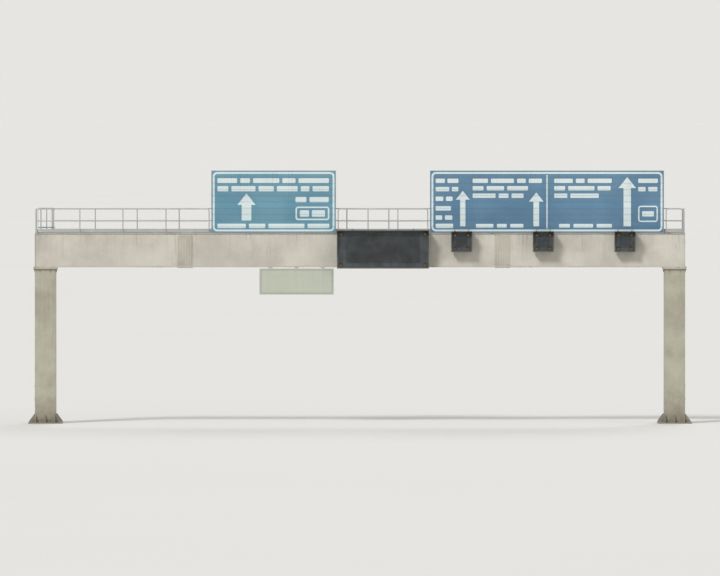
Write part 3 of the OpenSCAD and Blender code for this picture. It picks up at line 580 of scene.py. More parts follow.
dress("beam_paint", "beam_left", "beam_middle", "beam_right")
dress("leg_paint", "leg_left", "leg_right")
dress("base_paint", "base_left", "base_right")
dress("door_paint", "leg_door_left", "leg_door_right")
dress("splice_paint", "splice_left", "splice_right")
dress("bracket_paint", "message_brackets", "lane_signal_brackets")
dress("rail_zinc", *LONG_GUARDS, *END_GUARDS)
dress("post_zinc", "sign_1_posts", "sign_2_posts", "sign_1_rails", "sign_2_rails", "hanging_plate_channels")
dress("ladder_zinc", "ladder", "ladder_cage")
dress("deck_zinc", "walkway_deck")
dress("duct_zinc", "cable_trunking", "junction_boxes")
dress("sign_alloy", "sign_1_panel", "sign_2_panel", "sign_1_trim", "sign_2_trim")
dress("case_coat", *CASES)
dress("hood_coat", *[name.replace("case", "hood") for name in CASES])
dress("display_front", "message_face", "lane_signal_faces")
dress("plate_face", "hanging_plate")


# Making and joining shapes

SUNK = 0.001


def facing(point, axis, turn=0.0):
    """The matrix that puts a shape made along +Z on a point, pointing along an axis."""
    aim = axis.to_track_quat("Z", "Y").to_matrix().to_4x4()
    return Matrix.Translation(point) @ aim @ Matrix.Rotation(turn, 4, "Z")


def straight(points, axis):
    """A place for each point, all of them turned alike."""
    return [facing(point, axis) for point in points]


def turned(points, axis):
    """A place for each point, each with a turn of its own, as nuts have."""
    return [facing(point, axis, (i * 0.618) % 1 * math.tau) for i, point in enumerate(points)]


def prism(bm, sides, radius, z0, z1, top=None, smooth=False):
    """An upright prism or cone between two heights, with closed ends."""
    made = bmesh.ops.create_cone(bm, cap_ends=True, segments=sides, radius1=radius,
                                 radius2=radius if top is None else top, depth=z1 - z0,
                                 matrix=Matrix.Translation((0, 0, (z0 + z1) / 2)))["verts"]
    for face in {f for v in made for f in v.link_faces}:
        face.smooth = smooth and len(face.verts) == 4
    return made


def slab(bm, lo, hi):
    """A box between two corners."""
    lo, hi = Vector(lo), Vector(hi)
    made = bmesh.ops.create_cube(bm, size=1)["verts"]
    bmesh.ops.scale(bm, vec=hi - lo, verts=made)
    bmesh.ops.translate(bm, vec=(lo + hi) / 2, verts=made)


def edges_at(verts):
    """Every edge that meets one of the vertices, once and always in the same order."""
    return list(dict.fromkeys(e for v in verts for e in v.link_edges))


def round_off(bm, geom, offset, segments=1, affect="EDGES"):
    """Bevels edges, or the corners of flat shapes if affect says VERTICES."""
    bmesh.ops.bevel(bm, geom=geom, offset=offset, segments=segments, profile=0.5, affect=affect,
                    material=-1, clamp_overlap=True)


def soft_slab(lo, hi, radius, segments=1):
    """A new box between two corners, with its edges taken off."""
    bm = bmesh.new()
    slab(bm, lo, hi)
    round_off(bm, list(bm.edges), radius, segments)
    return bm


def spun(bm, points, sides, closed=False):
    """Turns an outline of radii and heights round the Z axis."""
    outline = [bm.verts.new((radius, 0, z)) for radius, z in points]
    following = outline[1:] + outline[:1] if closed else outline[1:]
    edges = [bm.edges.new(pair) for pair in zip(outline, following)]
    bmesh.ops.spin(bm, geom=outline + edges, cent=(0, 0, 0), axis=(0, 0, 1), angle=math.tau,
                   steps=sides, use_merge=True, use_duplicate=False)
    bmesh.ops.remove_doubles(bm, verts=bm.verts, dist=1e-5)
    bmesh.ops.recalc_face_normals(bm, faces=bm.faces)


def mesh_of(bm, name):
    """The mesh that a bmesh becomes."""
    mesh = bpy.data.meshes.new(name)
    bm.to_mesh(mesh)
    bm.free()
    return mesh


def put(whole, pattern, places):
    """Adds a copy of a pattern to a bmesh at each of its places."""
    mesh = mesh_of(pattern, "pattern")
    for spot in places:
        moved = mesh.copy()
        moved.transform(spot)
        whole.from_mesh(moved)
        bpy.data.meshes.remove(moved)
    bpy.data.meshes.remove(mesh)


def in_scene(name, data):
    """A new object in the scene."""
    item = bpy.data.objects.new(name, data)
    bpy.context.scene.collection.objects.link(item)
    return item


def shaped(bm, name, finish):
    """Makes a piece of the gantry from a bmesh, with its finish."""
    bmesh.ops.recalc_face_normals(bm, faces=bm.faces)
    mesh = mesh_of(bm, name)
    mesh.materials.append(finishes[finish])
    piece = in_scene(name, mesh)
    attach(piece, "root")


def gathered(name, slot, finish, *groups):
    """Makes one piece with a copy of each pattern at each of its places."""
    whole = bmesh.new()
    for pattern, places in groups:
        put(whole, pattern, places)
    shaped(whole, name, finish)


def fixings(name, *groups, finish="steel_fixings"):
    """Makes one piece of many small fixings."""
    gathered(name, "fixings", finish, *groups)


# Shapes of fixings and welds

# Bolts by their thread, with the width across the flats and the height of the head or nut
M8_LOW, M8, M12, M16 = (0.013, 0.006), (0.013, 0.007), (0.019, 0.01), (0.024, 0.013)
M20, M24, M27 = (0.03, 0.016), (0.036, 0.016), (0.041, 0.02)


def hex_head(bm, across, z0, z1):
    """A hexagon head or nut with its upper corners turned down."""
    made = prism(bm, 6, across / math.sqrt(3), z0, z1)
    rim = [e for e in edges_at(made) if min(v.co.z for v in e.verts) > z1 - 1e-6]
    round_off(bm, rim, across * 0.06)


def bolt(across, head):
    """A bolt head on a round washer, with its seat at the origin."""
    washer_r, washer_t = across * 0.95, across * 0.12
    bm = bmesh.new()
    prism(bm, 12, washer_r, -SUNK, washer_t)
    hex_head(bm, across, washer_t, washer_t + head)
    return bm


def screw(radius, head):
    """A low round screw head."""
    bm = bmesh.new()
    prism(bm, 10, radius, -SUNK, head, top=radius * 0.7)
    return bm


def anchor(diameter, height):
    """A holding-down bolt: plate washer, nut, lock nut and a threaded end."""
    half, radius, across, ridges = diameter * 1.2, diameter / 2, diameter * 1.55, 12
    plate_top, washer_top = 0.012, 0.02
    nut_top = washer_top + diameter * 0.8
    lock_top = washer_top + SUNK + diameter * 1.25
    bm = soft_slab((-half, -half, -SUNK), (half, half, plate_top), 0.002)
    prism(bm, 20, across * 0.62, plate_top, washer_top)
    hex_head(bm, across, washer_top, nut_top)
    hex_head(bm, across, nut_top + SUNK, lock_top)
    pitch = (height - lock_top) / ridges
    thread = [(0, lock_top - 0.01)]
    for i in range(ridges):
        thread += [(radius * 0.86, lock_top + pitch * i), (radius, lock_top + pitch * (i + 0.5))]
    spun(bm, [*thread, (radius * 0.8, height), (0, height)], 14)
    return bm


def dome(radius, height, rings, sides):
    """A low round dome on the origin, closed underneath."""
    bm = bmesh.new()
    arc = [(radius * math.cos(a), height * math.sin(a)) for a in spread(0.0, math.pi / 2, rings + 1)[:-1]]
    spun(bm, [(0, -2 * SUNK), (radius, -2 * SUNK), *arc, (0, height)], sides)
    for face in bm.faces:
        face.smooth = True
    return bm


def collar(radius, height):
    """The rounded weld ring round a tube."""
    bm = bmesh.new()
    inner, outer, flat = radius - 0.003, radius + height * 0.8, height * 0.4
    spun(bm, [(inner, -height), (outer, -flat), (outer, flat), (inner, height)], 16, closed=True)
    return bm


def bead(bm, a, b, radius, step=0.05):
    """A weld bead between two points: a thin bar with uneven rings, half sunk in the corner."""
    a, b = Vector(a), Vector(b)
    run = b - a
    made = bmesh.ops.create_cone(bm, cap_ends=True, segments=6, radius1=radius, radius2=radius,
                                 depth=run.length, matrix=facing((a + b) / 2, run))["verts"]
    along = [e for e in edges_at(made)
             if abs((e.verts[0].co - e.verts[1].co).dot(run)) > 0.5 * run.length_squared]
    cuts = max(1, min(400, int(run.length / step)))
    cut = bmesh.ops.subdivide_edges(bm, edges=along, cuts=cuts)
    for v in [g for g in cut["geom_inner"] if isinstance(g, bmesh.types.BMVert)]:
        t = (v.co - a).dot(run) / run.length
        centre = a + run.normalized() * t
        v.co = centre + (v.co - centre) * (1 + 0.13 * math.sin(t * 131) + 0.1 * math.sin(t * 47 + a.x * 3))


def frame_beads(bm, cx, cy, half_x, half_y, z, radius):
    """Weld beads round a rectangle at one height."""
    corners = [(cx - half_x, cy - half_y, z), (cx + half_x, cy - half_y, z),
               (cx + half_x, cy + half_y, z), (cx - half_x, cy + half_y, z)]
    for a, b in zip(corners, corners[1:] + corners[:1]):
        bead(bm, a, b, radius)


# Sign faces

FIELD_T, MARK_T = 0.0012, 0.0010
BORDER_W, BORDER_INSET, BORDER_R = 0.085, 0.05, 0.20
PLATE_BORDER_T, PLATE_BORDER_W, PLATE_BORDER_INSET, PLATE_BORDER_R = 0.0008, 0.04, 0.05, 0.08

# Marks in the places of words and symbols, measured from a sign's lower left corner. Bars: x,
# height, gap, and for each row its z with the lengths of its bars. Arrows: x, z, height, shaft
# and head. Rings: corners, radius and width. Dividers: corners.
MARKS = {
    1: {"bars": ((0.28, 0.22, 0.14, {2.28: (0.9, 0.45, 1.2, 0.6, 1.39)}),
                 (0.28, 0.24, 0.14, {1.9: (0.5, 1.1, 0.7, 0.95, 0.4, 0.75)}),
                 (0.28, 0.2, 0.14, {0.22: (1.3, 0.75, 1.65, 1.0)}),
                 (3.85, 0.24, 0.14, {1.4: (0.5, 0.88)}),
                 (4.05, 0.3, 0.13, {0.74: (0.42, 0.6)})),
        "arrows": ((1.61, 0.56, 1.24, 0.44, 0.52),),
        "rings": ((3.85, 0.58, 5.4, 1.2, 0.12, 0.07),),
        "dividers": ()},
    2: {"bars": ((0.26, 0.2, 0.12, {2.28: (0.42, 0.5), 1.9: (0.62, 0.3), 1.46: (0.35, 0.3), 1.02: (0.7,),
                                    0.6: (0.3, 0.34), 0.22: (0.8,)}),
                 (1.95, 0.2, 0.14, {2.28: (0.7, 1.05, 0.4, 0.6), 1.94: (0.5, 0.8, 0.95),
                                    1.6: (1.05, 0.45, 0.55)}),
                 (5.68, 0.2, 0.14, {2.28: (0.85, 0.4, 1.1), 1.94: (0.5, 1.2, 0.6), 1.6: (0.6, 1.3)}),
                 (9.52, 0.2, 0.12, {2.28: (0.9,), 1.9: (0.34, 0.42)}),
                 (2.1, 0.17, 0.16, {0.24: (0.8, 0.45, 0.6)}),
                 (5.9, 0.17, 0.16, {0.24: (0.5, 0.9, 0.7)}),
                 (9.7, 0.24, 0.12, {0.75: (0.54,)})),
        "arrows": ((1.5, 0.3, 1.62, 0.24, 0.4), (4.86, 0.3, 1.55, 0.26, 0.42), (9.02, 0.3, 2.25, 0.34, 0.5)),
        "rings": ((9.52, 0.5, 10.42, 1.24, 0.12, 0.06),),
        "dividers": ((5.32, 0.2, 5.38, 2.65),)},
}


def flat_plate(bm, x0, z0, x1, z1, radius):
    """A flat rectangle with round corners that looks towards -Y, at y 0."""
    before = set(bm.faces)
    corners = bmesh.ops.create_grid(bm, x_segments=1, y_segments=1, size=0.5)["verts"]
    bmesh.ops.scale(bm, vec=(x1 - x0, z1 - z0, 1), verts=corners)
    if radius:
        round_off(bm, corners, radius, 6, "VERTICES")
    face = (set(bm.faces) - before).pop()
    made = list(face.verts)
    bmesh.ops.rotate(bm, cent=(0, 0, 0), matrix=Matrix.Rotation(math.pi / 2, 3, "X"), verts=made)
    bmesh.ops.translate(bm, vec=((x0 + x1) / 2, 0, (z0 + z1) / 2), verts=made)
    return face


def flat_ring(bm, x0, z0, x1, z1, radius, width):
    """A rounded border of even width."""
    face = flat_plate(bm, x0, z0, x1, z1, radius)
    bmesh.ops.inset_region(bm, faces=[face], thickness=width, use_even_offset=True, use_boundary=True)
    bmesh.ops.delete(bm, geom=[face], context="FACES")


def up_arrow(bm, x, z, height, shaft, head):
    """A plain arrow that points up from its foot."""
    half, wing, tip = shaft / 2, head * 0.8, z + height
    neck = tip - head
    outline = [(x - half, z), (x + half, z), (x + half, neck), (x + wing, neck), (x, tip), (x - wing, neck),
               (x - half, neck)]
    bm.faces.new([bm.verts.new((px, 0, pz)) for px, pz in outline])


def draw_marks(bm, x, z, marks):
    """The bars, arrows, rings and dividers of a sign whose lower left corner is at x and z."""
    for left, height, gap, rows in marks["bars"]:
        for foot, lengths in rows.items():
            start = x + left
            for length in lengths:
                flat_plate(bm, start, z + foot, start + length, z + foot + height, height * 0.18)
                start += length + gap
    for middle, foot, height, shaft, head in marks["arrows"]:
        up_arrow(bm, x + middle, z + foot, height, shaft, head)
    for x0, z0, x1, z1, radius, width in marks["rings"]:
        flat_ring(bm, x + x0, z + z0, x + x1, z + z1, radius, width)
    for x0, z0, x1, z1 in marks["dividers"]:
        flat_plate(bm, x + x0, z + z0, x + x1, z + z1, 0)


def cut_at_joints(bm, joints, axis):
    """Takes a strip out of flat shapes at each joint of the panel behind them."""
    half = PLANK_JOINT / 2
    for joint in joints:
        for offset in (-half, half):
            bmesh.ops.bisect_plane(bm, geom=[*bm.verts, *bm.edges, *bm.faces],
                                   plane_co=axis * (joint + offset), plane_no=axis)
        strip = [f for f in bm.faces if abs(f.calc_center_median().dot(axis) - joint) < half]
        bmesh.ops.delete(bm, geom=strip, context="FACES")


def thicken(bm, thickness, y):
    """Gives flat shapes a thickness, with their backs on y and their fronts towards -Y."""
    bm.normal_update()
    bmesh.ops.reverse_faces(bm, faces=[f for f in bm.faces if f.normal.y > 0])
    bmesh.ops.solidify(bm, geom=list(bm.faces), thickness=thickness)
    bmesh.ops.translate(bm, vec=(0, y - max(v.co.y for v in bm.verts), 0), verts=bm.verts)


def lay_sheeting(bm, y, thickness, seams):
    """Lays flat shapes on a sign's planks: cut at the joints, given a thickness and set on y."""
    cut_at_joints(bm, [plank_foot + i * plank_h for i in range(1, PLANKS)], Z)
    cut_at_joints(bm, seams, X)
    thicken(bm, thickness, y)


def inner(lo, hi, inset):
    """The corners of a rectangle inside a box's front, at an even distance from its edges."""
    return lo.x + inset, lo.z + inset, hi.x - inset, hi.z - inset


def sign_face(number, seams):
    """The blue field of a direction sign with its pale border and marks."""
    lo, hi = box[f"sign_{number}_trim"]
    front = box[f"sign_{number}_panel"][0].y
    field, white = bmesh.new(), bmesh.new()
    flat_plate(field, *inner(lo, hi, TRIM_LIP / 2), 0)
    lay_sheeting(field, front, FIELD_T, seams)
    shaped(field, f"sign_{number}_field", f"sheeting_blue_{number}")
    flat_ring(white, *inner(lo, hi, TRIM_LIP + BORDER_INSET), BORDER_R, BORDER_W)
    draw_marks(white, lo.x, lo.z, MARKS[number])
    lay_sheeting(white, front - FIELD_T, MARK_T, seams)
    shaped(white, f"sign_{number}_marks", "sheeting_white")


def hanging_face():
    """The grey border of the plate below the beam, its rivets and the bolts of its channels."""
    lo, hi = box["hanging_plate"]
    ring = bmesh.new()
    flat_ring(ring, *inner(lo, hi, PLATE_BORDER_INSET), PLATE_BORDER_R, PLATE_BORDER_W)
    thicken(ring, PLATE_BORDER_T, lo.y)
    shaped(ring, "hanging_plate_border", "plate_grey")
    channel_lo, channel_hi = box["hanging_plate_channels"]
    xs = spread(channel_lo.x, channel_hi.x, 3, HANGER_CAP_W / 2)
    rivets = [(x + d, lo.y, z) for x in xs for d in (-0.02, 0.02) for z in spread(lo.z, hi.z, 5, 0.12)]
    fixings("hanging_plate_rivets", (screw(0.009, 0.004), turned(rivets, -Y)))
    cap_y, cap_z = line_y - edge_y + HANGING_T, channel_hi.z - HANGER_CAP_T
    bolts = [(x + s * 0.08, cap_y + d, cap_z) for x in xs for s in BOTH for d in (0.03, 0.09)]
    fixings("hanging_plate_bolts", (bolt(*M16), turned(bolts, -Z)))


sign_face(1, [])
sign_face(2, [sum(p.x for p in box["sign_2_panel"]) / 2])
hanging_face()


# Message sign and lane signals

def case_of(node):
    """Middle x and z, front plane and half sizes of a display's dark panel, from its case and hood."""
    lo, hi = box[node]
    top = box[node.replace("case", "hood")][1].z - BEZEL
    bottom = lo.z + BEZEL
    return ((lo.x + hi.x) / 2, (top + bottom) / 2, lo.y + RECESS - FRONT_T,
            (hi.x - lo.x) / 2 - BEZEL, (top - bottom) / 2)


def display(name, node, columns, rows, module, across, shelf):
    """The lit area of a display: bevelled modules, their pixels and a thin shade over each row."""
    x, z, y = case_of(node)[:3]
    x0, z0 = x - columns * module / 2, z - rows * module / 2
    half, pitch, proud = module / 2, module / across, 0.006
    edge = half - 0.0015
    plate = soft_slab((-edge, -edge, -0.002), (edge, edge, proud), 0.001)
    middles = [(x0 + (i + 0.5) * module, y, z0 + (j + 0.5) * module)
               for i in range(columns) for j in range(rows)]
    dots = [(mx - half + (i + 0.5) * pitch, y - proud, mz - half + (j + 0.5) * pitch)
            for mx, _, mz in middles for i in range(across) for j in range(across)]
    shade = bmesh.new()
    slab(shade, (-columns * half, -shelf, -0.001), (columns * half, 0.002, 0.001))
    tilt = Matrix.Rotation(math.radians(12), 4, "X")
    levels = sorted({round(dot[2], 4) for dot in dots})
    shades = [Matrix.Translation((x, y - proud, level + pitch * 0.45)) @ tilt for level in levels]
    gathered(f"{name}_modules", "display_dark", "display_front",
             (plate, straight(middles, -Y)), (shade, shades))
    pixel = dome(pitch * 0.24, pitch * 0.14, 2, 6)
    gathered(f"{name}_pixels", "display_dark", "pixel_lens", (pixel, turned(dots, -Y)))


def corner_lenses():
    """The amber lenses inside the lanterns at the corners of the dark fronts."""
    points = []
    for node in CASES:
        x, z, y, half_w, half_h = case_of(node)
        points += [(x + s * (half_w - LANTERN_INSET), y - 0.006, z + t * (half_h - LANTERN_INSET))
                   for s in BOTH for t in BOTH]
    glass = dome(LANTERN_R - LANTERN_WALL - 0.002, 0.022, 5, 24)
    gathered("corner_lenses", "lens_amber", "amber_lens", (glass, straight(points, -Y)))


def case_fixings():
    """Screws round the fronts of the cases, rivets on the hoods and vents in the sides."""
    screws, rivets, vents = [], [], []
    for node in CASES:
        count_x, count_z = (15, 7) if node == "message_case" else (4, 4)
        x, z, _, half_w, half_h = case_of(node)
        front, back = box[node][0].y, box[node][1].y
        out_w, out_h = half_w + BEZEL / 2, half_h + BEZEL / 2
        xs, zs = spread(x - out_w, x + out_w, count_x), spread(z - out_h, z + out_h, count_z)[1:-1]
        screws += [(px, front, z + s * out_h) for px in xs for s in BOTH]
        screws += [(x + s * out_w, front, pz) for pz in zs for s in BOTH]
        hood_top = z + half_h + BEZEL
        rivets += [(px, front - 0.03, hood_top) for px in spread(x - half_w, x + half_w, count_x)]
        for s in BOTH:
            side = Vector((x + s * (half_w + BEZEL), (front + back) / 2, z - 0.15 * half_h))
            vents += [facing(side + Z * 0.035 * i, s * X) for i in range(9)]
    fixings("case_screws", (screw(0.008, 0.004), turned(screws, -Y)),
            (screw(0.006, 0.003), turned(rivets, Z)))
    slat = soft_slab((-0.09, -0.003, -0.002), (0.09, 0.012, 0.006), 0.003, 2)
    gathered("case_vents", "case_black", "case_coat", (slat, vents))


display("message", "message_case", 8, 3, 0.42, 9, 0.016)
for number in (1, 2, 3):
    display(f"signal_{number}", f"lane_signal_{number}_case", 2, 2, 0.27, 10, 0.009)
corner_lenses()
case_fixings()


# Bolts of the steelwork

def anchors():
    """Holding-down bolts round both base plates."""
    points = []
    for side in ("left", "right"):
        lo, hi = box[f"base_{side}"]
        xs, ys = spread(lo.x, hi.x, 4, ANCHOR_INSET), spread(lo.y, hi.y, 4, ANCHOR_INSET)
        points += [(x, y, BASE_T) for x in xs for y in ys if x in (xs[0], xs[3]) or y in (ys[0], ys[3])]
    fixings("anchor_bolts", (anchor(0.042, 0.15), straight(points, Z)))


def head_bolts():
    """Bolts round the plates between each leg and the beam, with nuts below and heads above."""
    nuts, heads = [], []
    out_x, out_y = leg_half_x + HEAD_LIP / 2, leg_half_y + HEAD_LIP / 2
    for side in BOTH:
        ring = [(side * x, s * out_y) for x in spread(-out_x, out_x, 7) for s in BOTH]
        ring += [(s * out_x, y) for y in spread(-out_y, out_y, 8)[1:-1] for s in BOTH]
        nuts += [(leg_x[side] + x, line_y + y, leg_top) for x, y in ring]
        heads += [(leg_x[side] + x, line_y + y, leg_top + 2 * HEAD_T)
                  for x, y in ring if side * x > leg_half_x]
    fixings("head_plate_bolts", (bolt(*M27), turned(nuts, -Z)), (bolt(*M27), turned(heads, Z)),
            finish="painted_fixings")


def splice_bolts():
    """Rows of bolts on the cover plates of the beam's joints."""
    web, under = [], []
    margin = SPLICE_EDGE + SPLICE_BOLT_EDGE
    for side in ("left", "right"):
        lo, hi = box[f"splice_{side}"]
        middle = (lo.x + hi.x) / 2
        columns = spread(lo.x, middle, 3, SPLICE_BOLT_EDGE) + spread(middle, hi.x, 3, SPLICE_BOLT_EDGE)
        web += [(x, z) for x in columns for z in spread(beam_bottom, beam_top, 14, margin)]
        under += [(x, y, lo.z) for x in columns for y in spread(line_y - web_y, line_y + web_y, 11, 0.12)]
    depth = web_y + SPLICE_T
    sides = [turned([(x, line_y + s * depth, z) for x, z in web], s * Y) for s in BOTH]
    groups = [(bolt(*M24), places) for places in (*sides, turned(under, -Z))]
    fixings("splice_bolts", *groups, finish="painted_fixings")


def earth_bosses():
    """An earthing boss with its bolt on the rear of each leg, above the base plate."""
    boss, boss_t = bmesh.new(), 0.02
    prism(boss, 24, 0.028, -2 * SUNK, boss_t, smooth=True)
    points = [Vector((x + side * 0.2, line_y + leg_half_y, 0.55)) for side, x in leg_x.items()]
    fixings("earth_bosses", (boss, straight(points, Y)),
            (bolt(*M12), straight([point + Y * boss_t for point in points], Y)))


def post_places(number):
    """Where the posts of a sign stand along the beam."""
    lo, hi = box[f"sign_{number}_posts"]
    return spread(lo.x, hi.x, SIGN_POSTS[number], POST_FOOT_W / 2)


def post_clamp():
    """A strap behind a post with two rods, whose hooks hold the rail in front of it."""
    strap_back, rod_x, hook_t = POST_D + 0.008, 0.065, 0.006
    clamp = soft_slab((-0.085, POST_D, -0.03), (0.085, strap_back, 0.03), 0.002)
    rod = bmesh.new()
    prism(rod, 10, 0.006, 0.003 - SIGN_RAIL_D, strap_back + 0.015)
    hex_head(rod, 0.019, strap_back, strap_back + 0.01)
    put(clamp, rod, straight([(s * rod_x, 0, 0) for s in BOTH], Y))
    for s in BOTH:
        slab(clamp, (s * rod_x - 0.03, -SIGN_RAIL_D, -0.02), (s * rod_x + 0.02, hook_t - SIGN_RAIL_D, 0.02))
    return clamp


def plank_clip():
    """A clip that holds a plank's foot on the brim of a rail, with its screw."""
    clip = bmesh.new()
    slab(clip, (-0.018, -0.016, 0.005), (0.03, 0.016, 0.009))
    slab(clip, (0.012, -0.016, 0.0), (0.03, 0.016, 0.006))
    prism(clip, 6, 0.008, 0.008, 0.016)
    return clip


def sign_fixings():
    """Foot bolts, clamps between posts and rails, and clips between rails and planks."""
    feet, clamps, clips = [], [], []
    foot_ys = (post_front + 0.03, post_front + POST_D + 0.055)
    for number, posts in SIGN_POSTS.items():
        lo, hi = box[f"sign_{number}_rails"]
        for x in post_places(number):
            feet += [(x + s * 0.082, y, post_foot_top) for s in BOTH for y in foot_ys]
            clamps += [Matrix.Translation((x, post_front, z)) for z in spread(lo.z + 0.35, hi.z - 0.45, 4)]
        rails = spread(lo.x, hi.x, 2 * posts - 1, SIGN_RAIL_W / 2)
        clips += [facing((x + s * SIGN_RAIL_W / 2, lo.y, plank_foot + (i + share) * plank_h), Y,
                         turn=0.0 if s > 0 else math.pi)
                  for x in rails for i in range(PLANKS) for share in (0.2, 0.8) for s in BOTH]
    fixings("sign_foot_bolts", (bolt(*M20), turned(feet, Z)))
    fixings("sign_clamps", (post_clamp(), clamps))
    fixings("plank_clips", (plank_clip(), clips))


anchors()
head_bolts()
splice_bolts()
earth_bosses()
sign_fixings()


# Guardrails, ladder and cage

def guard_posts():
    """Every guardrail post as its place on the beam and the direction of its rail."""
    posts = []
    for name in LONG_GUARDS:
        lo, hi = box[name]
        posts += [(x, (lo.y + hi.y) / 2, X) for x in spaced(lo.x, hi.x, GUARD_PITCH, FOOT_S / 2)]
    for name in END_GUARDS:
        lo, hi = box[name]
        posts += [((lo.x + hi.x) / 2, y, Y) for y in spread(lo.y, hi.y, 2, FOOT_S / 2)]
    return posts


def guard_fixings():
    """Foot bolts of the guardrails and the weld rings where their tubes meet."""
    feet, rings = [], []
    middle, bolt_step = GUARD_H / 2 - FOOT_T, 0.033
    for x, y, along in guard_posts():
        foot = Vector((x, y, beam_top + FOOT_T))
        across = along.cross(Z)
        feet += [foot + along * s * bolt_step + across * t * bolt_step for s in BOTH for t in BOTH]
        rings += [foot + Z * rise for rise in (0.003, middle - TUBE_R, middle + TUBE_R)]
    fixings("rail_foot_bolts", (bolt(*M8), turned(feet, Z)))
    gathered("rail_weld_rings", "galvanised_steel", "rail_zinc", (collar(TUBE_R, 0.004), straight(rings, Z)))


def ladder_fixings():
    """Bolts on the ladder's foot plates and the cage's crossings, and the weld rings of its rungs."""
    lo, hi = box["ladder"]
    x = (lo.x + hi.x) / 2
    plates = [(z, line_y + leg_half_y) for z in spread(lo.z + 0.4, leg_top - 0.3, LADDER_FEET)]
    plates.append(((beam_bottom + beam_top) / 2, line_y + web_y))
    bolts = [(x + s * STILE_X + t * 0.035, y + LADDER_FOOT_T, z + LADDER_FOOT_H / 2)
             for z, y in plates for s in BOTH for t in BOTH]
    fixings("ladder_bolts", (bolt(*M12), turned(bolts, Y)))

    cage_lo, cage_hi = box["ladder_cage"]
    middle = Vector((x, cage_hi.y - CAGE_FLARE - HOOP_T - CAGE_R, HOOP_H / 2))
    studs = []
    for z in spaced(cage_lo.z + FLARE_H, cage_hi.z - HOOP_H, HOOP_PITCH):
        for angle in (0, 45, 90, 135, 180):
            out = Vector((math.cos(math.radians(angle)), math.sin(math.radians(angle)), 0))
            studs.append(facing(middle + out * (CAGE_R + HOOP_T) + Z * z, out, turn=angle))
    fixings("cage_bolts", (bolt(*M8_LOW), studs))

    rungs = int((beam_top + DECK_RISE - lo.z - RUNG_PITCH / 2) / RUNG_PITCH) + 1
    rings = [(x + s * (STILE_X - STILE_T / 2), hi.y - STILE_D / 2, lo.z + RUNG_PITCH * (i + 0.5))
             for i in range(rungs) for s in BOTH]
    gathered("rung_weld_rings", "galvanised_steel", "ladder_zinc",
             (collar(RUNG_R, 0.003), straight(rings, X)))


guard_fixings()
ladder_fixings()


# Walkway, trunking and boxes

def deck_fixings():
    """Low-headed bolts along both edges of each walkway plate."""
    lo, hi = box["walkway_deck"]
    step = (hi.x - lo.x + DECK_GAP) / DECK_PLATES
    points = [(lo.x + (i + share) * step, y, hi.z) for i in range(DECK_PLATES)
              for share in (0.06, 0.35, 0.65, 0.93) for y in spread(lo.y, hi.y, 2, 0.04)]
    fixings("deck_bolts", (screw(0.012, 0.002), turned(points, Z)))


def trunking_fixings():
    """Cover straps on the trunking's lid, the screws of the straps and of the boxes, and the gland nuts."""
    lo, hi = box["cable_trunking"]
    straps = spaced(lo.x, hi.x, STRAP_PITCH, 0.05)
    band = soft_slab((-0.04, -0.004, lo.z - 0.002), (0.04, STRAP_T, hi.z + 0.002), 0.001)
    gathered("trunking_straps", "galvanised_steel", "duct_zinc",
             (band, [Matrix.Translation((x, hi.y, 0)) for x in straps]))
    screws = [(x + d, hi.y + STRAP_T, z) for x in straps for d in (-0.025, 0.025)
              for z in spread(lo.z, hi.z, 2, 0.03)]

    box_lo, box_hi = box["junction_boxes"]
    middles = [case_of(node)[0] for node in CASES]
    edge, foot = 0.02, box_lo.z + GLAND_L
    screws += [(x + s * (JUNCTION_W / 2 - edge), box_hi.y, z) for x in middles for s in BOTH
               for z in spread(foot, foot + JUNCTION_H, 3, edge)]
    fixings("lid_screws", (screw(0.007, 0.003), turned(screws, Y)))
    nut = bmesh.new()
    hex_head(nut, 0.036, 0.0, 0.012)
    gland_y = (line_y + web_y + TRUNKING_GAP + box_hi.y) / 2
    nuts = [(x + s * GLAND_STEP, gland_y, foot) for x in middles for s in (-1, 0, 1)]
    fixings("gland_nuts", (nut, turned(nuts, -Z)))


deck_fixings()
trunking_fixings()


# Welds

def leg_welds(side):
    """Beads round a leg at its base plate and head plate, along the gussets and round the sole plate."""
    bm = bmesh.new()
    x, past = leg_x[side], 0.004
    frame_beads(bm, x, line_y, leg_half_x, leg_half_y, BASE_T, 0.009)
    for s in BOTH:
        for t in BOTH:
            corner = Vector((x + s * (leg_half_x - 0.018), line_y + t * (leg_half_y - 0.0015), BASE_T))
            bead(bm, corner, corner + Z * (leg_top - BASE_T), 0.005, 0.06)
    frame_beads(bm, x, line_y, leg_half_x, leg_half_y, leg_top, 0.008)
    lip = HEAD_LIP - 0.004
    frame_beads(bm, x, line_y, leg_half_x + lip, leg_half_y + lip, leg_top + HEAD_T, 0.003)
    for t in (-1, 0, 1):
        for s in BOTH:
            on_face = Vector((x + t * (leg_half_x - GUSSET_TOE), line_y + s * leg_half_y, BASE_T))
            on_side = Vector((x + s * leg_half_x, line_y + t * (leg_half_y - GUSSET_TOE), BASE_T))
            for root, out, across in ((on_face, s * Y, X), (on_side, s * X, Y)):
                for d in (-GUSSET_T / 2, GUSSET_T / 2):
                    start = root + across * d
                    bead(bm, start, start + out * (GUSSET_RUN + past), 0.006)
                    bead(bm, start, start + Z * (GUSSET_H + past), 0.006)
    return bm


def beam_welds():
    """Beads between the beam's webs and its flange plates, broken off at the splices."""
    bm = bmesh.new()
    (left_lo, left_hi), (right_lo, right_hi) = box["splice_left"], box["splice_right"]
    for x0, x1 in ((beam_x0, left_lo.x), (left_hi.x, right_lo.x), (right_hi.x, beam_x1)):
        for s in BOTH:
            for z in (beam_bottom + FLANGE_T, beam_top - FLANGE_T):
                bead(bm, (x0 + 0.02, line_y + s * web_y, z), (x1 - 0.02, line_y + s * web_y, z), 0.007, 0.12)
    return bm


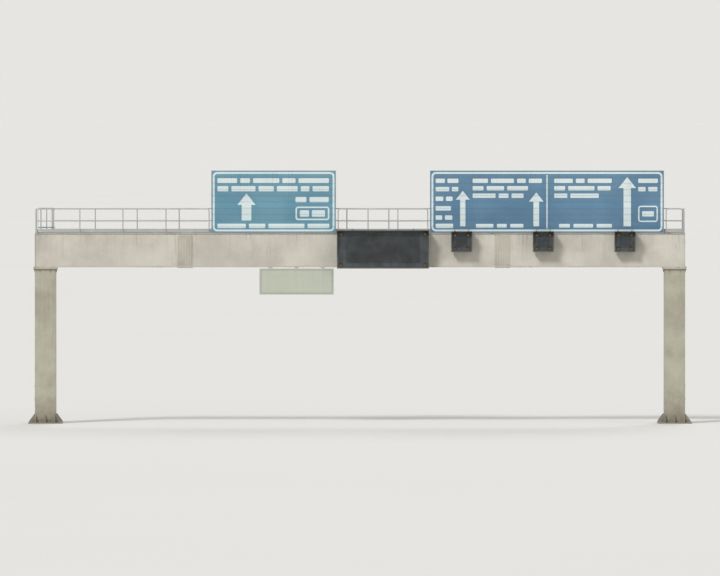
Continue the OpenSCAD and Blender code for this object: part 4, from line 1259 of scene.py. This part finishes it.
def foot_welds():
    """Beads round the feet of the sign posts and along their ribs."""
    bm = bmesh.new()
    for number in SIGN_POSTS:
        for x in post_places(number):
            frame_beads(bm, x, post_front + POST_D / 2, POST_W / 2, POST_D / 2, post_foot_top, 0.006)
            for s in BOTH:
                root = Vector((x + s * POST_RIB_T / 2, post_front + POST_D, post_foot_top))
                bead(bm, root, root + Y * (POST_RIB_D + 0.002), 0.004)
                bead(bm, root, root + Z * POST_RIB_H, 0.004)
    return bm


shaped(leg_welds(-1), "leg_welds_left", "leg_paint")
shaped(leg_welds(1), "leg_welds_right", "leg_paint")
shaped(beam_welds(), "beam_welds", "beam_paint")
shaped(foot_welds(), "post_foot_welds", "post_zinc")


# Studio

CAMERA_AWAY, CAMERA_Z, AIM_RISE = 425.0, 15.0, 0.4
SENSOR, FILL = 36.0, 0.92
FLOOR_R = 5000.0

# Soft suns: azimuth, elevation and angular size in degrees, and strength
SUNS = {"key": (-38, 42, 14, 2.3), "fill": (55, 30, 40, 0.6), "rear": (165, 38, 30, 1.1)}


def set_camera():
    """The camera far off and as high as the photograph's, with the gantry filling the width."""
    lo, hi = cad_box
    middle = (lo + hi) / 2
    camera = in_scene("camera", bpy.data.cameras.new("camera"))
    camera.location = (middle.x, middle.y - CAMERA_AWAY, CAMERA_Z)
    aim = Vector((middle.x, middle.y, middle.z + AIM_RISE)) - camera.location
    camera.rotation_euler = aim.to_track_quat("-Z", "Y").to_euler()
    camera.data.sensor_width = SENSOR
    camera.data.lens = SENSOR * FILL * aim.length / (hi.x - lo.x)
    camera.data.clip_start, camera.data.clip_end = 1.0, 6000.0
    bpy.context.scene.camera = camera


def set_suns():
    """A soft key light, a weak fill and one from the rear."""
    for name, (azimuth, elevation, size, strength) in SUNS.items():
        a, e = math.radians(azimuth), math.radians(elevation)
        source = Vector((math.sin(a) * math.cos(e), -math.cos(a) * math.cos(e), math.sin(e)))
        sun = in_scene(name, bpy.data.lights.new(name, "SUN"))
        sun.rotation_euler = source.to_track_quat("Z", "Y").to_euler()
        sun.data.energy = strength
        sun.data.angle = math.radians(size)


def set_floor():
    """A plain pale floor with a faint cloud in its colour."""
    bm = bmesh.new()
    bmesh.ops.create_circle(bm, cap_ends=True, segments=96, radius=FLOOR_R)
    mesh = mesh_of(bm, "floor")
    plain = Finish("floor", Roughness=0.9, Specular_IOR_Level=0.1)
    feed(plain.inputs["Base Color"], blend(noise(place(plain.tree), 0.02, 3), "#cbcac6", "#cfcecb"))
    mesh.materials.append(finishes["floor"])
    in_scene("floor", mesh)


def set_surround():
    """A pale surround that looks brighter than the light it gives."""
    world = bpy.data.worlds.new("surround")
    bpy.context.scene.world = world
    world.use_nodes = True
    tree = world.node_tree
    tree.nodes.clear()
    path = Node(tree, "LightPath")
    seen = most(path["Is Camera Ray"], most(path["Is Glossy Ray"], path["Is Transmission Ray"]))
    light = Node(tree, "Background", {"Color": "#ffffff", "Strength": 0.45})
    shown = Node(tree, "Background", {"Color": "#e6e5e2", "Strength": 1.0})
    mixed = Node(tree, "MixShader", {0: seen, 1: light[0], 2: shown[0]})
    Node(tree, "OutputWorld", {"Surface": mixed[0]})


set_camera()
set_suns()
set_floor()
set_surround()
bpy.context.scene.view_settings.view_transform = "Standard"
